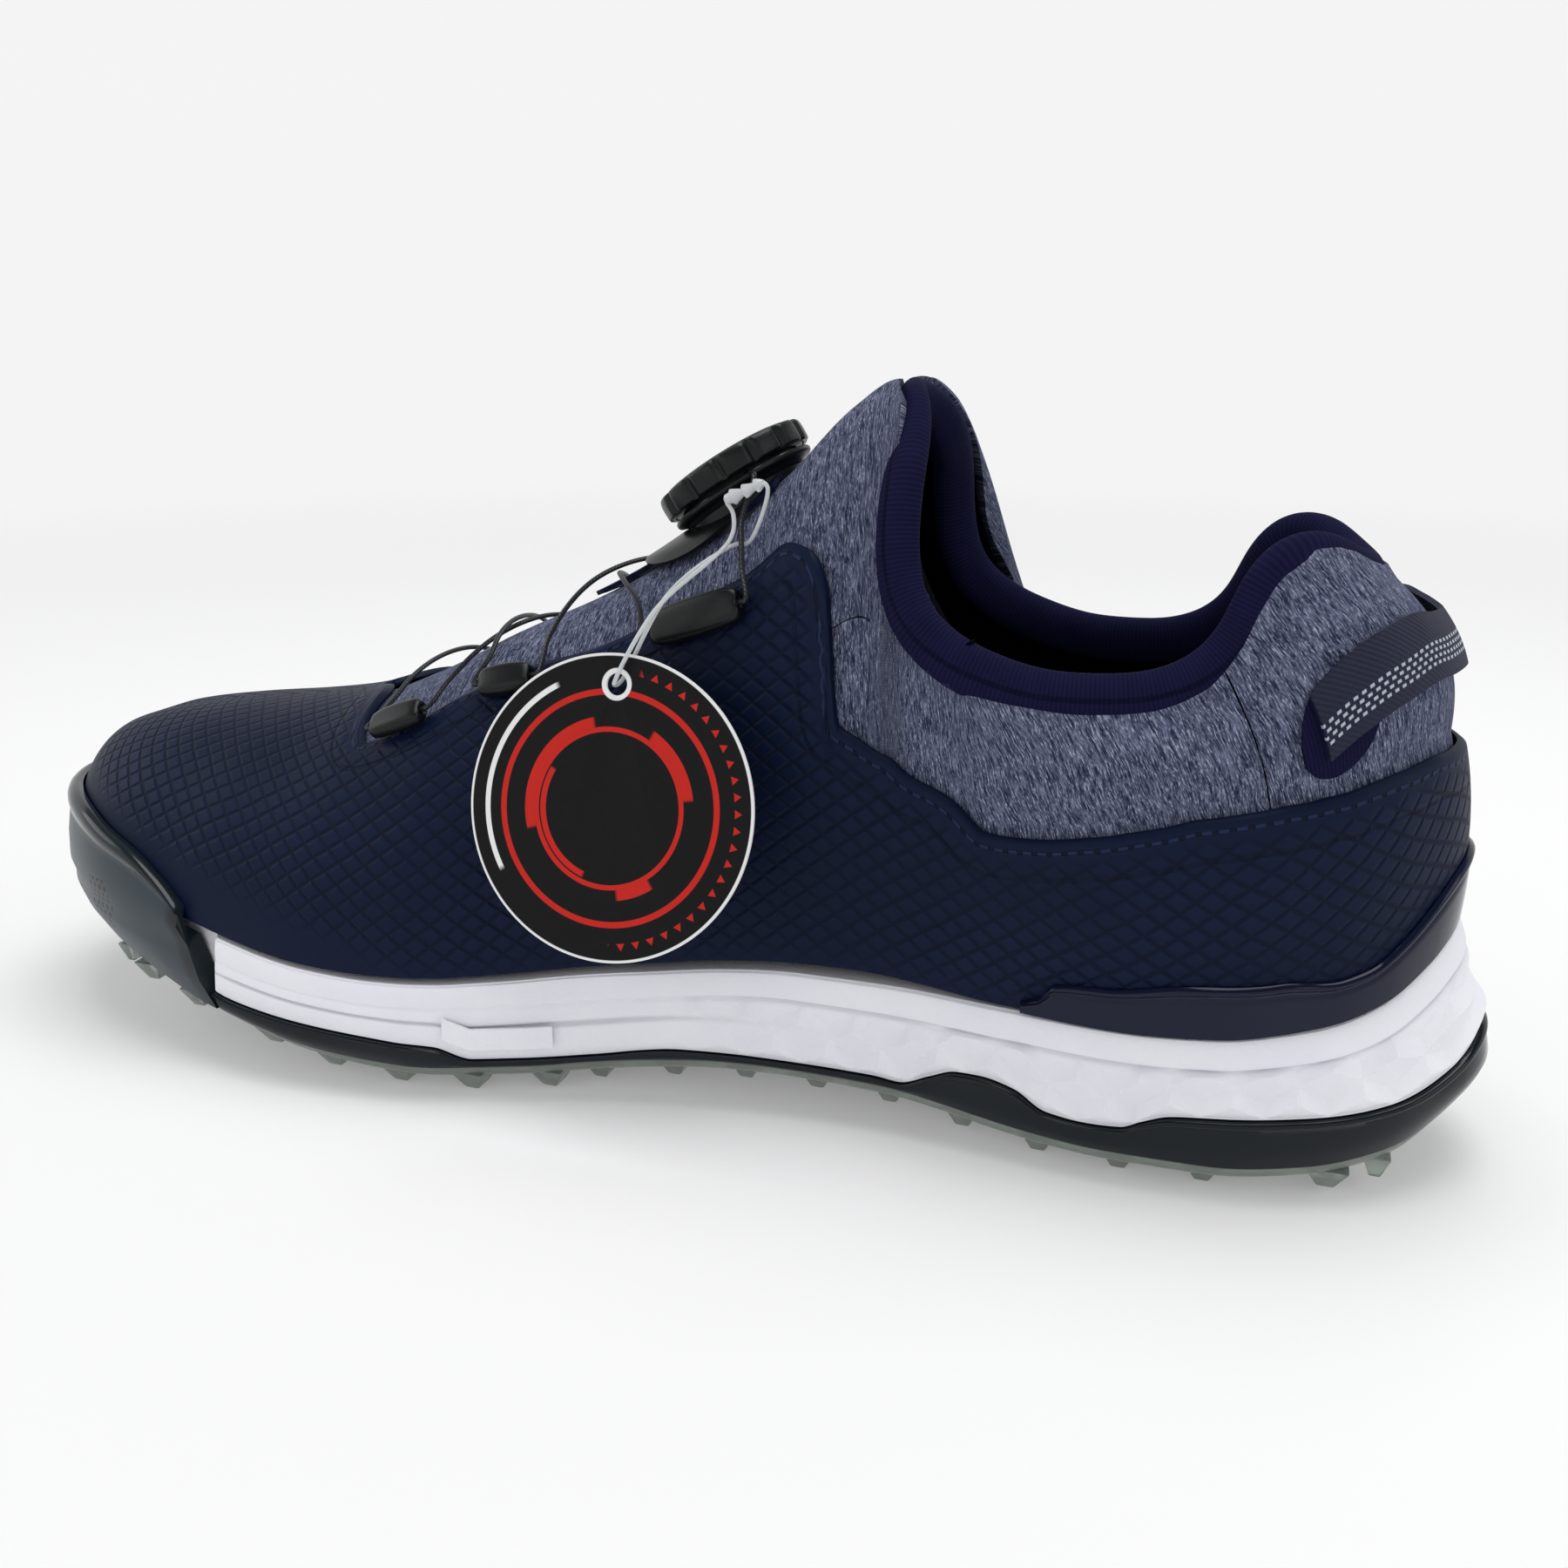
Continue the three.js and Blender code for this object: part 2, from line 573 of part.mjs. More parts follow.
function toeBumper() {
  const count = 11;
  const topHeight = curve([
    [-151, 47], [-140, 46.6], [-130, 45.5], [-120, 43.2], [-111, 40.7], [-104, 37.4], [-98, 33.8], [-94, 30.6],
  ]);
  const outlines = [];
  const sides = [medial, lateral];
  for (const side of sides) {
    const list = [];
    for (let i = 0; i <= count; i++) {
      const share = 1 - (i / count) ** 1;
      const atLevel = (z) => {
        const end = columnAt(bumperEnd(z));
        return end * share;
      };
      const below = [];
      const u0 = atLevel(14);
      const s0 = stationOf(u0);
      const bottom = soleBottom(s0) + (baseThickness + gap) / scaleZ;
      const feather = featherHeight(s0);
      const point = (z, inset) => {
        const u = atLevel(z);
        return footprint(side, u, sideInset(stationOf(u), z) + inset, z * scaleZ);
      };
      const over = (z, offset) => {
        const u = atLevel(z);
        return skin(side, u, vAtHeight(side, u, z), offset);
      };
      const u1 = atLevel(32);
      const top = Math.max(topHeight(stationOf(u1)), feather + 1.6);
      const mid = (top + feather) / 2;
      below.push(point(bottom, 0), point((bottom + feather) / 2, 0), point(feather - 1, -0.1));
      below.push(over(mid, upperOuter + 2.4), over(top - 0.6, upperOuter + 2), over(top, upperOuter + 1.2));
      const inside = upperOuter + gap + 0.2;
      below.push(over(top, inside), over(mid, inside), over(feather + 0.4, inside));
      below.push(point(feather - 1, 3.6), point((bottom + feather) / 2, 3.7), point(bottom, 3.7));
      list.push(below);
    }
    if (side === lateral) {
      list.reverse();
      list.shift();
    }
    outlines.push(...list);
  }
  return loft(outlines);
}

add("outsole_base", outsoleBase(), smoke, 0.15);
add("outsole_rim", outsoleRim(), gunmetal, 0.2);
add("toe_bumper", toeBumper(), slate, 0.25);
add("midsole", midsole(), white, 0.6);
add("midsole_badge", badge(), white, 0.5);
add("shank_plate", shank(0), black, 0.4);
add("strobel_board", flatBoard(gap, -boardThickness - gap, -gap), 0xc9c4b8, 0.9);
add("sockliner", flatBoard(5, 0, socklinerThickness), black, 0.8);

// ---------- upper ----------
const navyTop = curve([
  [-74, 1], [-70, 0.94], [-67, 0.865], [-63.7, 0.68], [-60, 0.6], [-47, 0.62], [-40, 0.64], [-26, 0.66],
  [-12, 0.63], [0, 0.625], [16, 0.62], [24, 0.633], [30, 0.58], [34, 0.5], [37, 0.3], [42.6, 0.281],
  [50.5, 0.317], [60.4, 0.407], [75, 0.503], [90, 0.593], [97, 0.618], [103, 0.638], [109.5, 0.633],
  [116, 0.608], [122, 0.568], [128, 0.533], [136, 0.513], [151, 0.503],
]);
const navyStations = [-82, -74, -70, -67, -63.7, -60, 30, 34, 37, 42.6];
const bandLow = curve([
  [-151, 1], [32, 1], [34, 0.965], [36, 0.925], [38, 0.87], [39.2, 0.79], [40, 0.7], [40.6, 0.6],
  [41.2, 0.52], [42.6, 0.477], [47.2, 0.472], [53.9, 0.568], [62, 0.71], [71.1, 0.859], [82.3, 0.894],
  [90, 0.91], [101, 0.905], [116, 0.894], [124, 0.889], [128, 0.915], [135, 0.93], [140, 0.925], [151, 0.935],
]);
const bandStations = [31, 32, 34, 36, 38, 39.2, 40, 40.6, 41.2, 42.6, 47.2, 53.9, 62, 71.1];
const belowBand = (s) => (s < 31.5 ? 1 : bandLow(s) - (s > 43 && s < 75 ? 0.036 : 0.026));
const collarSeam = 0.43; // the v at which the tongue meets the collar
const heelSeam = 114.5; // the station at which the side collar meets the heel collar

// How far the padded collar swells out at a place on the wall.
function puff(side, u, v) {
  const s = stationOf(u);
  const start = navyTop(s) + 0.025;
  const t = THREE.MathUtils.clamp((v - start) / (bandLow(s) - start), 0, 1);
  const swell = THREE.MathUtils.clamp((s - 38) / 30, 0.15, 1);
  return bootieOuter + swell * (2.6 * Math.sin(Math.PI * t) + 1.2 * t);
}

const onStation = (f) => (side, u) => f(stationOf(u));
const wholeRing = (extra) => [
  ...span(medial, 151, -151, extra),
  ...span(lateral, -151, 151, extra).slice(1, -1),
];

const upperShell = shell({
  strips: [wholeRing(navyStations)], rows: 8, low: 0.014, high: onStation(navyTop),
  inner: upperInner, outer: upperOuter, ring: true,
});
const lining = shell({
  strips: [wholeRing([31, 34, 36, 38, 39.2, 40, 40.6, 41.2, 42.6, 47.2, 53.9, 62, 71.1])],
  rows: 7, low: -0.92, high: onStation((s) => (s < 31.5 ? 1 : belowBand(s) - 0.008)), inner: linerInner, outer: linerOuter, ring: true,
});
const toePuff = shell({
  strips: [around(-114, -151)], rows: 6, low: 0.05, high: 1, inner: -1.4, outer: 0,
});
const heelCounter = shell({
  strips: [around(66, 151)], rows: 4, low: 0.02, high: onStation((s) => navyTop(s) - 0.12), inner: -1.6, outer: 0,
});
const clipTop = curve([
  [70, 0.03], [75, 0.065], [78, 0.116], [89, 0.146], [102, 0.176], [115, 0.161], [125, 0.121],
  [130, 0.116], [135, 0.136], [141, 0.166], [145, 0.191], [151, 0.215],
]);
const heelClip = shell({
  strips: [around(72, 151, [75, 78])], rows: 3, low: 0.012, high: onStation(clipTop),
  inner: upperOuter + gap, outer: (side, u, v) => upperOuter + gap + 1 + 0.8 * (v / clipTop(stationOf(u))),
});
const tongueLow = (s) => (s < -70 ? 0.82 : Math.max(navyTop(s) - 0.1, collarSeam + 0.004));
const overlayStations = [-22, -16, -10.5, -5, 0, 7, 14, 20];
const tongueStations = [-74, -70, -67, -63.7, -60, ...overlayStations, 30, 31, 34, 36, 38];
const tongue = shell({
  strips: [span(medial, -82, 39.2, tongueStations), span(lateral, -82, 39.2, tongueStations)],
  rows: 7, low: onStation(tongueLow), high: onStation(belowBand), inner: bootieInner, outer: bootieOuter,
});
const overlayLow = curve([[-22, 0.975], [-18, 0.93], [-7, 0.91], [2, 0.82], [12, 0.82], [20, 0.86]]);
const overlay = shell({
  strips: [span(medial, -22, 20, overlayStations), span(lateral, -22, 20, overlayStations)],
  rows: 4, low: onStation(overlayLow), high: 1, inner: 0.1, outer: 1,
});
const collarLow = curve([
  [32, 0.25], [37, 0.21], [42.6, 0.19], [50.5, 0.23], [60.4, 0.32], [75, 0.41], [90, 0.5], [103, 0.548],
  [109.5, 0.543], [116, 0.518], [122, 0.478], [128, 0.443], [136, 0.423], [151, 0.413],
]);
const collarHigh = (s) => Math.min(belowBand(s), s < 42 ? collarSeam - 0.004 : 1);
const collarSide = (side) => shell({
  strips: [span(side, 33, heelSeam - 0.25, [37, 39.2, 41.2, 42.6, 47.2, 53.9, 62, 71.1])],
  rows: 8, low: onStation(collarLow), high: onStation(collarHigh), inner: bootieInner, outer: puff,
});
const collarHeel = shell({
  strips: [around(heelSeam + 0.25, 151)],
  rows: 8, low: onStation(collarLow), high: onStation(collarHigh), inner: bootieInner, outer: puff,
});
const bandOuter = (side, u, v) => {
  const t = (v - bandLow(stationOf(u))) / Math.max(1 - bandLow(stationOf(u)), 1e-3);
  return 1.2 + 0.9 * Math.sin(Math.PI * THREE.MathUtils.clamp(0.15 + 0.75 * t, 0, 1));
};
const binding = shell({
  strips: [around(32, 151, bandStations)], rows: 6, low: onStation(bandLow), high: 1,
  inner: -4.8, outer: bandOuter,
});

add("upper_shell", upperShell, navy, 0.6);
add("toe_puff", toePuff, 0xd8d2c4, 0.9);
add("heel_counter", heelCounter, 0xd8d2c4, 0.9);
add("heel_clip", heelClip, navy, 0.15);
add("tongue", tongue, heather, 0.9);
add("tongue_overlay", overlay, navy, 0.6);
add("collar_medial", collarSide(medial), heather, 0.9);
add("collar_lateral", collarSide(lateral), heather, 0.9);
add("collar_heel", collarHeel, heather, 0.9);
add("collar_binding", binding, bindingNavy, 0.85);
add("lining", lining, black, 0.95);

// ---------- heel pull tab ----------
// An oval patch on each side of the collar, and a webbing strap round the heel between them.
const patchSpan = [120.5, 133];
const patchHalf = (s) => {
  const t = (2 * s - patchSpan[0] - patchSpan[1]) / (patchSpan[1] - patchSpan[0]);
  return 0.095 * Math.sqrt(Math.max(1 - t * t, 0.06));
};
const patchStations = [121.3, 123, 125, 127, 129, 131, 132.4];
const patch = (side) => shell({
  strips: [span(side, ...patchSpan, patchStations)], rows: 4,
  low: onStation((s) => 0.68 - patchHalf(s)), high: onStation((s) => 0.68 + patchHalf(s)),
  inner: (sd, u, v) => puff(sd, u, v) + gap, outer: (sd, u, v) => puff(sd, u, v) + gap + 0.8,
});
const strapMiddle = curve([[124, 0.69], [132, 0.7], [151, 0.745]]);
const strapLift = curve([[124, 1.4], [135, 1.5], [151, 2.2]]);
const strap = shell({
  strips: [around(124, 151, [127, 129, 131])], rows: 3,
  low: onStation((s) => strapMiddle(s) - 0.07), high: onStation((s) => strapMiddle(s) + 0.07),
  inner: (sd, u, v) => puff(sd, u, v) + strapLift(stationOf(u)),
  outer: (sd, u, v) => puff(sd, u, v) + strapLift(stationOf(u)) + 1,
});
add("pull_tab_patch_medial", patch(medial), bindingNavy, 0.6);
add("pull_tab_patch_lateral", patch(lateral), bindingNavy, 0.6);
add("heel_pull_tab", strap, navy, 0.8);

// ---------- rounds and tubes ----------
// A closed [radius, height] profile turned about the Z axis.
function turned(profile, segments = 30) {
  const outlines = [];
  for (let i = 0; i < segments; i++) {
    const a = (2 * Math.PI * i) / segments;
    outlines.push(profile.map(([r, z]) => new THREE.Vector3(r * Math.cos(a), r * Math.sin(a), z)));
  }
  return loft(outlines, true);
}

const disc = (radius, low, high, segments) => turned([[0, low], [radius, low], [radius, high], [0, high]], segments);

// A round tube along a list of points.
function tube(points, diameter, sides = 6, loop = false) {
  const n = points.length;
  const rings = [];
  let normal = new THREE.Vector3();
  for (let i = 0; i < n; i++) {
    const before = points[loop ? (i + n - 1) % n : Math.max(i - 1, 0)];
    const after = points[loop ? (i + 1) % n : Math.min(i + 1, n - 1)];
    const t = after.clone().sub(before).normalize();
    if (i === 0) normal.set(0.31, 0.2, 0.93).cross(t).normalize();
    normal = t.clone().cross(normal.clone().cross(t)).normalize();
    const b = t.clone().cross(normal);
    rings.push(Array.from({ length: sides }, (_, k) => {
      const a = (2 * Math.PI * k) / sides;
      const out = normal.clone().multiplyScalar(Math.cos(a)).addScaledVector(b, Math.sin(a));
      return points[i].clone().addScaledVector(out, diameter / 2);
    }));
  }
  return loft(rings, loop);
}

const smooth = (points, count, loop = false) =>
  new THREE.CatmullRomCurve3(points, loop, "centripetal").getPoints(count).slice(0, loop ? -1 : undefined);

// ---------- dial ----------
// The dial's own frame: its axis is Z, and 0 is the top of the knob.
const dialTilt = THREE.MathUtils.degToRad(33);
const dialCentre = new THREE.Vector3(0, 5.3 * scaleY, 120.3 * scaleZ);
const dial = new THREE.Group();
dial.position.copy(dialCentre);
dial.rotation.x = dialTilt;
root.add(dial);
dial.updateMatrixWorld(true);
const R = dialDiameter / 2;

const baseReach = 0.9194 * R;
const baseStations = [-8, -5, 0, 7, 14, 17.5].filter((s) => Math.abs(s - 4.75) < baseReach - 0.5);
const dialBase = shell({
  strips: [medial, lateral].map((side) => span(side, 4.75 - baseReach, 4.75 + baseReach, baseStations)),
  rows: 4,
  low: onStation((s) => 1 - 0.01452 * R * Math.sqrt(Math.max(1 - ((s - 4.75) / (baseReach + 0.15)) ** 2, 0.03))),
  high: 1, inner: 1.35, outer: 2.3,
});
const underHousing = shell({
  strips: [medial, lateral].map((side) => span(side, -30, 34, overlayStations)), rows: 6,
  low: 0.55, high: 1, inner: -9, outer: 2.3 + gap + 0.15,
});

function housing() {
  const wallTop = -dialThickness + 3;
  const body = turned([
    [1.7, -13.5], [R - 3.4, -13.5], [R - 3.4, -dialThickness - 0.4], [R - 0.8, -dialThickness],
    [R - 0.8, -dialThickness + 0.7], [R - 3.6, -dialThickness + 0.7], [R - 3.6, wallTop],
    [R - 5.2, wallTop], [R - 5.2, -dialThickness + 0.9], [1.7, -dialThickness + 0.9],
  ]);
  const world = body.applyMatrix4(dial.matrixWorld);
  const trimmed = cut(world, underHousing, ...laceExits());
  return trimmed.applyMatrix4(dial.matrixWorld.clone().invert());
}

const knob = turned([
  [0, -0.9], [R * 0.6, -0.9], [R * 0.62, -0.5], [R - 3, -0.15], [R - 1.6, -0.6], [R - 1.5, -dialThickness + 1.6],
  [R - 2.9, -dialThickness + 1.6], [R - 2.9, -1.9], [0, -1.9],
]);

// The rubber grip round the knob, with finger grooves cut across it.
function grip() {
  const ring = turned([
    [R - 1.2, -0.9], [R - 0.5, -0.7], [R, -1.5], [R, -dialThickness + 2], [R - 0.4, -dialThickness + 1.5],
    [R - 1.2, -dialThickness + 1.5],
  ], 42);
  const grooves = Array.from({ length: 14 }, (_, i) => {
    const a = (2 * Math.PI * i) / 14;
    return disc(0.8, -dialThickness, 0, 6).translate((R + 0.35) * Math.cos(a), (R + 0.35) * Math.sin(a), 0);
  });
  return cut(ring, ...grooves);
}

const pawlDisc = turned([[2.2, -2.9], [R - 3.3, -2.9], [R - 3.3, -2.2], [2.2, -2.2]], 24);
const spool = turned([
  [1.9, -dialThickness + 1.2], [R - 6.8, -dialThickness + 1.2], [R - 6.8, -dialThickness + 1.45],
  [R - 7.9, -dialThickness + 1.5], [R - 7.9, -dialThickness + 2.85], [R - 6.2, -dialThickness + 2.9],
  [R - 6.2, -dialThickness + 3.3], [1.9, -dialThickness + 3.3],
], 24);
const screw = turned([
  [0, -dialThickness - 0.2], [1.2, -dialThickness - 0.2], [1.2, -2.7], [1.8, -2.7], [1.8, -2.2], [0, -2.2],
], 12);

// ---------- lace guides and lace ----------
// Each guide lies on the wall between two places, [station, v]; the lace runs through it end to end.
const guidePlaces = {
  front: { ends: [[-57, 0.61], [-45.5, 0.605]], width: 6 },
  mid: { ends: [[-34, 0.625], [-23.5, 0.6]], width: 6 },
  top: { ends: [[0.5, 0.585], [18.5, 0.555]], width: 7 },
};
const guideLow = upperOuter + gap;
const boreHeight = guideLow + 1.55;

function guideFrame(side, place) {
  const [a, b] = place.ends.map(([s, v]) => skin(side, columnAt(s), v, guideLow));
  const [s, v] = [0, 1].map((k) => (place.ends[0][k] + place.ends[1][k]) / 2);
  const along = b.clone().sub(a);
  const length = along.length();
  along.normalize();
  const up = wallNormal(side, columnAt(s), v);
  up.addScaledVector(along, -up.dot(along)).normalize();
  const sideways = along.clone().cross(up);
  // The guide's floor clears the swell of the wall between its ends.
  const middle = skin(side, columnAt(s), v, guideLow);
  const rise = Math.max(0, middle.clone().sub(a).dot(up));
  const origin = a.clone().add(b).multiplyScalar(0.5).addScaledVector(up, rise + 0.25);
  return { origin, along, up, sideways, length };
}

const inFrame = (f, x, y, z) =>
  f.origin.clone().addScaledVector(f.along, x).addScaledVector(f.sideways, y).addScaledVector(f.up, z);

function guide(side, place) {
  const f = guideFrame(side, place);
  const l = f.length / 2;
  const w = place.width / 2;
  const stations = [[-l, 0.55, 0.75], [-l + 1, 0.85, 0.95], [0, 1, 1], [l - 1, 0.85, 0.95], [l, 0.55, 0.75]];
  const outlines = stations.map(([x, wide, tall]) => {
    const [a, h] = [w * wide, 3.3 * tall];
    return [[-a, 0], [-a, h * 0.35], [-a * 0.6, h], [a * 0.6, h], [a, h * 0.35], [a, 0]]
      .map(([y, z]) => inFrame(f, x, y, z));
  });
  const body = loft(outlines);
  const bore = tube([inFrame(f, -l - 2, 0, 1.55), inFrame(f, l + 2, 0, 1.55)], guideBore, 12);
  return cut(body, bore);
}

// The lace's places inside a guide: both ends and the middle.
function through(side, name, reversed = false) {
  const f = guideFrame(side, guidePlaces[name]);
  const l = f.length / 2;
  const list = [-l - 1.4, -l, -l / 2, 0, l / 2, l, l + 1.4].map((x) => inFrame(f, x, 0, 1.55));
  return reversed ? list.reverse() : list;
}

// A stretch of lace over the vamp or tongue, from one wall to the other, bowed towards the toe.
function over(side, from, to, lift, bow = 0, steps = 7) {
  const [[s0, v0], [s1, v1]] = [from, to];
  const total = 2 - v0 - v1;
  return Array.from({ length: steps }, (_, i) => {
    const w = (total * (i + 1)) / (steps + 1);
    const arc = Math.sin((Math.PI * (i + 1)) / (steps + 1));
    const s = s0 + ((s1 - s0) * (i + 1)) / (steps + 1) - bow * arc;
    const near = w < 1 - v0;
    const height = 2.9 + (lift - 2.9) * arc ** 0.7;
    return skin(near ? side : -side, columnAt(s), near ? v0 + w : 2 - v0 - w, height);
  });
}

const exitAngle = 120; // degrees from the dial's toe side to where the lace leaves it
function exitPoint(side, radius) {
  const a = THREE.MathUtils.degToRad(-90 + side * exitAngle);
  const z = -dialThickness + 2.15 - (radius - R + 7) * 0.36;
  const p = new THREE.Vector3(radius * Math.cos(a), radius * Math.sin(a), z);
  return p.applyMatrix4(dial.matrixWorld);
}
const laceExits = () => [medial, lateral].map((side) =>
  tube([exitPoint(side, R - 6.5), exitPoint(side, R + 2)], guideBore, 10));

// The lace between a top guide and the dial, over the edge of the upper.
const climb = (side) => [[18.2, 0.63], [17.6, 0.69], [17, 0.75]].map(([s, v]) => skin(side, columnAt(s), v, 3.1));

function lacePath() {
  const end = (name, k) => guidePlaces[name].ends[k];
  return [
    exitPoint(medial, R - 7), exitPoint(medial, R - 3), exitPoint(medial, R + 1.5), ...climb(medial).reverse(),
    ...through(medial, "top", true),
    ...over(medial, end("top", 0), end("mid", 1), 2.2, 5),
    ...through(lateral, "mid", true),
    ...over(lateral, end("mid", 0), end("front", 1), 1.2),
    ...through(medial, "front", true),
    ...over(medial, end("front", 0), end("front", 0), 2.6),
    ...through(lateral, "front"),
    ...over(lateral, end("front", 1), end("mid", 0), 2.4),
    ...through(medial, "mid"),
    ...over(medial, end("mid", 1), end("top", 0), 3.5, 5),
    ...through(lateral, "top"), ...climb(lateral),
    exitPoint(lateral, R + 1.5), exitPoint(lateral, R - 3), exitPoint(lateral, R - 7),
  ];
}

add("dial_base", dialBase, dialGreen, 0.4);
add("dial_housing", housing(), dialGreen, 0.4, 0, dial);
add("dial_knob", knob, dialGreen, 0.35, 0, dial);
add("knob_grip", grip(), dialGreen, 0.7, 0, dial);
add("dial_pawl_disc", pawlDisc, 0x8d9296, 0.4, 0, dial);
add("dial_spool", spool, 0x8d9296, 0.4, 0, dial);
add("dial_screw", screw, 0x9aa0a4, 0.3, 0.8, dial);
for (const [sideName, side] of [["medial", medial], ["lateral", lateral]]) {
  for (const [name, place] of Object.entries(guidePlaces)) {
    add(`guide_${sideName}_${name}`, guide(side, place), dialGreen, 0.45);
  }
}
const laceRoute = lacePath();
add("lace_cable", tube(smooth(laceRoute, 170), laceDiameter, 5), 0x16181b, 0.4);

// ---------- hang tag ----------
// The tag's frame: its face is in the XY plane and its hole is towards +Y. It leans on the shoe's
// medial side, and hangs by a string looped round the lace just above the medial top guide.
const tagLean = THREE.MathUtils.degToRad(14);
const tagUp = new THREE.Vector3(-Math.sin(tagLean), 0, Math.cos(tagLean));
const tagFace = new THREE.Vector3(Math.cos(tagLean), 0, Math.sin(tagLean));
const tag = new THREE.Group();
tag.quaternion.setFromRotationMatrix(new THREE.Matrix4().makeBasis(new THREE.Vector3(0, 1, 0), tagUp, tagFace));
tag.position.set(42 * scaleX, -1.5 * scaleY, 62 * scaleZ);
root.add(tag);
tag.updateMatrixWorld(true);
const holeOffset = (tagDiameter / 2) * 0.8;
const tagBody = cut(
  disc(tagDiameter / 2, -tagThickness / 2, tagThickness / 2, 48),
  disc(2, -2, 2, 16).translate(0, holeOffset, 0),
);
const hole = new THREE.Vector3(0, holeOffset, 0).applyMatrix4(tag.matrixWorld);

// Where the string is looped round the lace: between the guide's end and the dial.
const [belowLoop, loopPoint, aboveLoop] = climb(medial);
const laceAlong = aboveLoop.clone().sub(belowLoop).normalize();
const loopOut = wallNormal(medial, columnAt(17.6), 0.69);
loopOut.addScaledVector(laceAlong, -loopOut.dot(laceAlong)).normalize();
const loopToe = laceAlong.clone().cross(loopOut);
if (loopToe.y > 0) loopToe.negate();
const nearLoop = (out, toe, up = 0) =>
  loopPoint.clone().addScaledVector(loopOut, out).addScaledVector(loopToe, toe).addScaledVector(laceAlong, up);
const lockCentre = nearLoop(3.2, -3.4, 7.5);
const lockAlong = new THREE.Vector3(0.1, 0.9, 0.42).normalize();
const lockAt = (x) => lockCentre.clone().addScaledVector(lockAlong, x);
const between = (a, b, t, out) => a.clone().lerp(b, t).addScaledVector(loopOut, out);
const stringRoute = [
  hole.clone().addScaledVector(tagFace, 1.4),
  between(hole, loopPoint, 0.45, 5),
  nearLoop(2.2, 0.6),
  nearLoop(3, -0.6, 4),
  lockAt(-4), lockAt(0), lockAt(4),
  nearLoop(2.4, -8, 7),
  nearLoop(0.4, -4.4, 2),
  nearLoop(-1.35, -0.2),
  nearLoop(-0.4, 1.9),
  between(hole, nearLoop(0.6, 2.4), 0.6, 4),
  hole.clone().addScaledVector(tagFace, -1.4).addScaledVector(tagUp, 0.6),
];
const lock = cut(
  tube([lockAt(-3), lockAt(-2.2), lockAt(2.2), lockAt(3)], 2.6, 10),
  tube([lockAt(-5), lockAt(5)], stringDiameter + 0.7, 10),
);
add("hang_tag", tagBody, 0xf4f4f2, 0.5, 0, tag);
add("tag_string", tube(smooth(stringRoute, 90, true), stringDiameter, 5, true), 0xe4e8ea, 0.2);
add("tag_lock", lock, 0xe4e8ea, 0.2);

export default root;
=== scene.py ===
# %% [markdown]
# # A golf shoe
# A right golf shoe stands on a pale floor. Its sole, upper, collar, closure and hang tag are built
# here as new pieces on a shared surface, the last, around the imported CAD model. Lengths in the
# design tables are millimetres, and Blender's are metres.

import math

import bmesh
import bpy
import numpy as np
from mathutils import Matrix, Vector
from mathutils.kdtree import KDTree


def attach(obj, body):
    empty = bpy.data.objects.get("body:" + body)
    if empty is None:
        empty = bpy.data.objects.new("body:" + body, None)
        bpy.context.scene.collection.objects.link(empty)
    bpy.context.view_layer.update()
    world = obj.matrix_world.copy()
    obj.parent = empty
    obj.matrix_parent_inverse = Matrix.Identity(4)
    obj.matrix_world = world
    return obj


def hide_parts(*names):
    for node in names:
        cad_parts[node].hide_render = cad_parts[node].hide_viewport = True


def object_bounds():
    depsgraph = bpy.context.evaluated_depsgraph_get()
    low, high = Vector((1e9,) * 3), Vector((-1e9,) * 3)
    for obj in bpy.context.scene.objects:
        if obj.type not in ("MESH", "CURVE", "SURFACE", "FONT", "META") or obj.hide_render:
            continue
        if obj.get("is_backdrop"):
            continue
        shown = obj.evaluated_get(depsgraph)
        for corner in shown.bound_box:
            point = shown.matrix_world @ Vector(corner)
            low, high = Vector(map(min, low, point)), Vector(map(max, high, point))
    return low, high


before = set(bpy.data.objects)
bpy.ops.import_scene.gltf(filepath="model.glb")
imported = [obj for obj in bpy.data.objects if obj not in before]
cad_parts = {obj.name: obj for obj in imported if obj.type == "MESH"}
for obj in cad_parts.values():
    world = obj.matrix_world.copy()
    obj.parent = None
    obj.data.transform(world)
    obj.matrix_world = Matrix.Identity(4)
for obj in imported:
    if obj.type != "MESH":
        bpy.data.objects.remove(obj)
first_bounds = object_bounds()
MM = 0.001
MEDIAL, LATERAL = 1, -1

# %% [markdown]
# ## The camera
# It looks at the shoe's inner side, a little from behind and above.

# %%
camera_data = bpy.data.cameras.new("camera")
camera_data.lens = 34.2
camera_data.sensor_width = 36
camera = bpy.data.objects.new("camera", camera_data)
bpy.context.scene.collection.objects.link(camera)
camera_target = Vector((0, 0.017, 0.0563))
azimuth, elevation, distance = math.radians(109.4), math.radians(17.1), 0.3
camera_back = Vector((
    math.sin(azimuth) * math.cos(elevation),
    -math.cos(azimuth) * math.cos(elevation),
    math.sin(elevation),
))
camera.location = camera_target + distance * camera_back
camera.rotation_euler = camera_back.to_track_quat("Z", "Y").to_euler()
bpy.context.scene.camera = camera
print("camera at", tuple(round(c, 4) for c in camera.location))

# %% [markdown]
# ## Curves
# A curve passes through its knots and never overshoots them. The shoe's outline, heights and edges
# are all curves of the *station*: where a column of the upper meets the sole, from -151 at the toe
# to 151 at the heel.

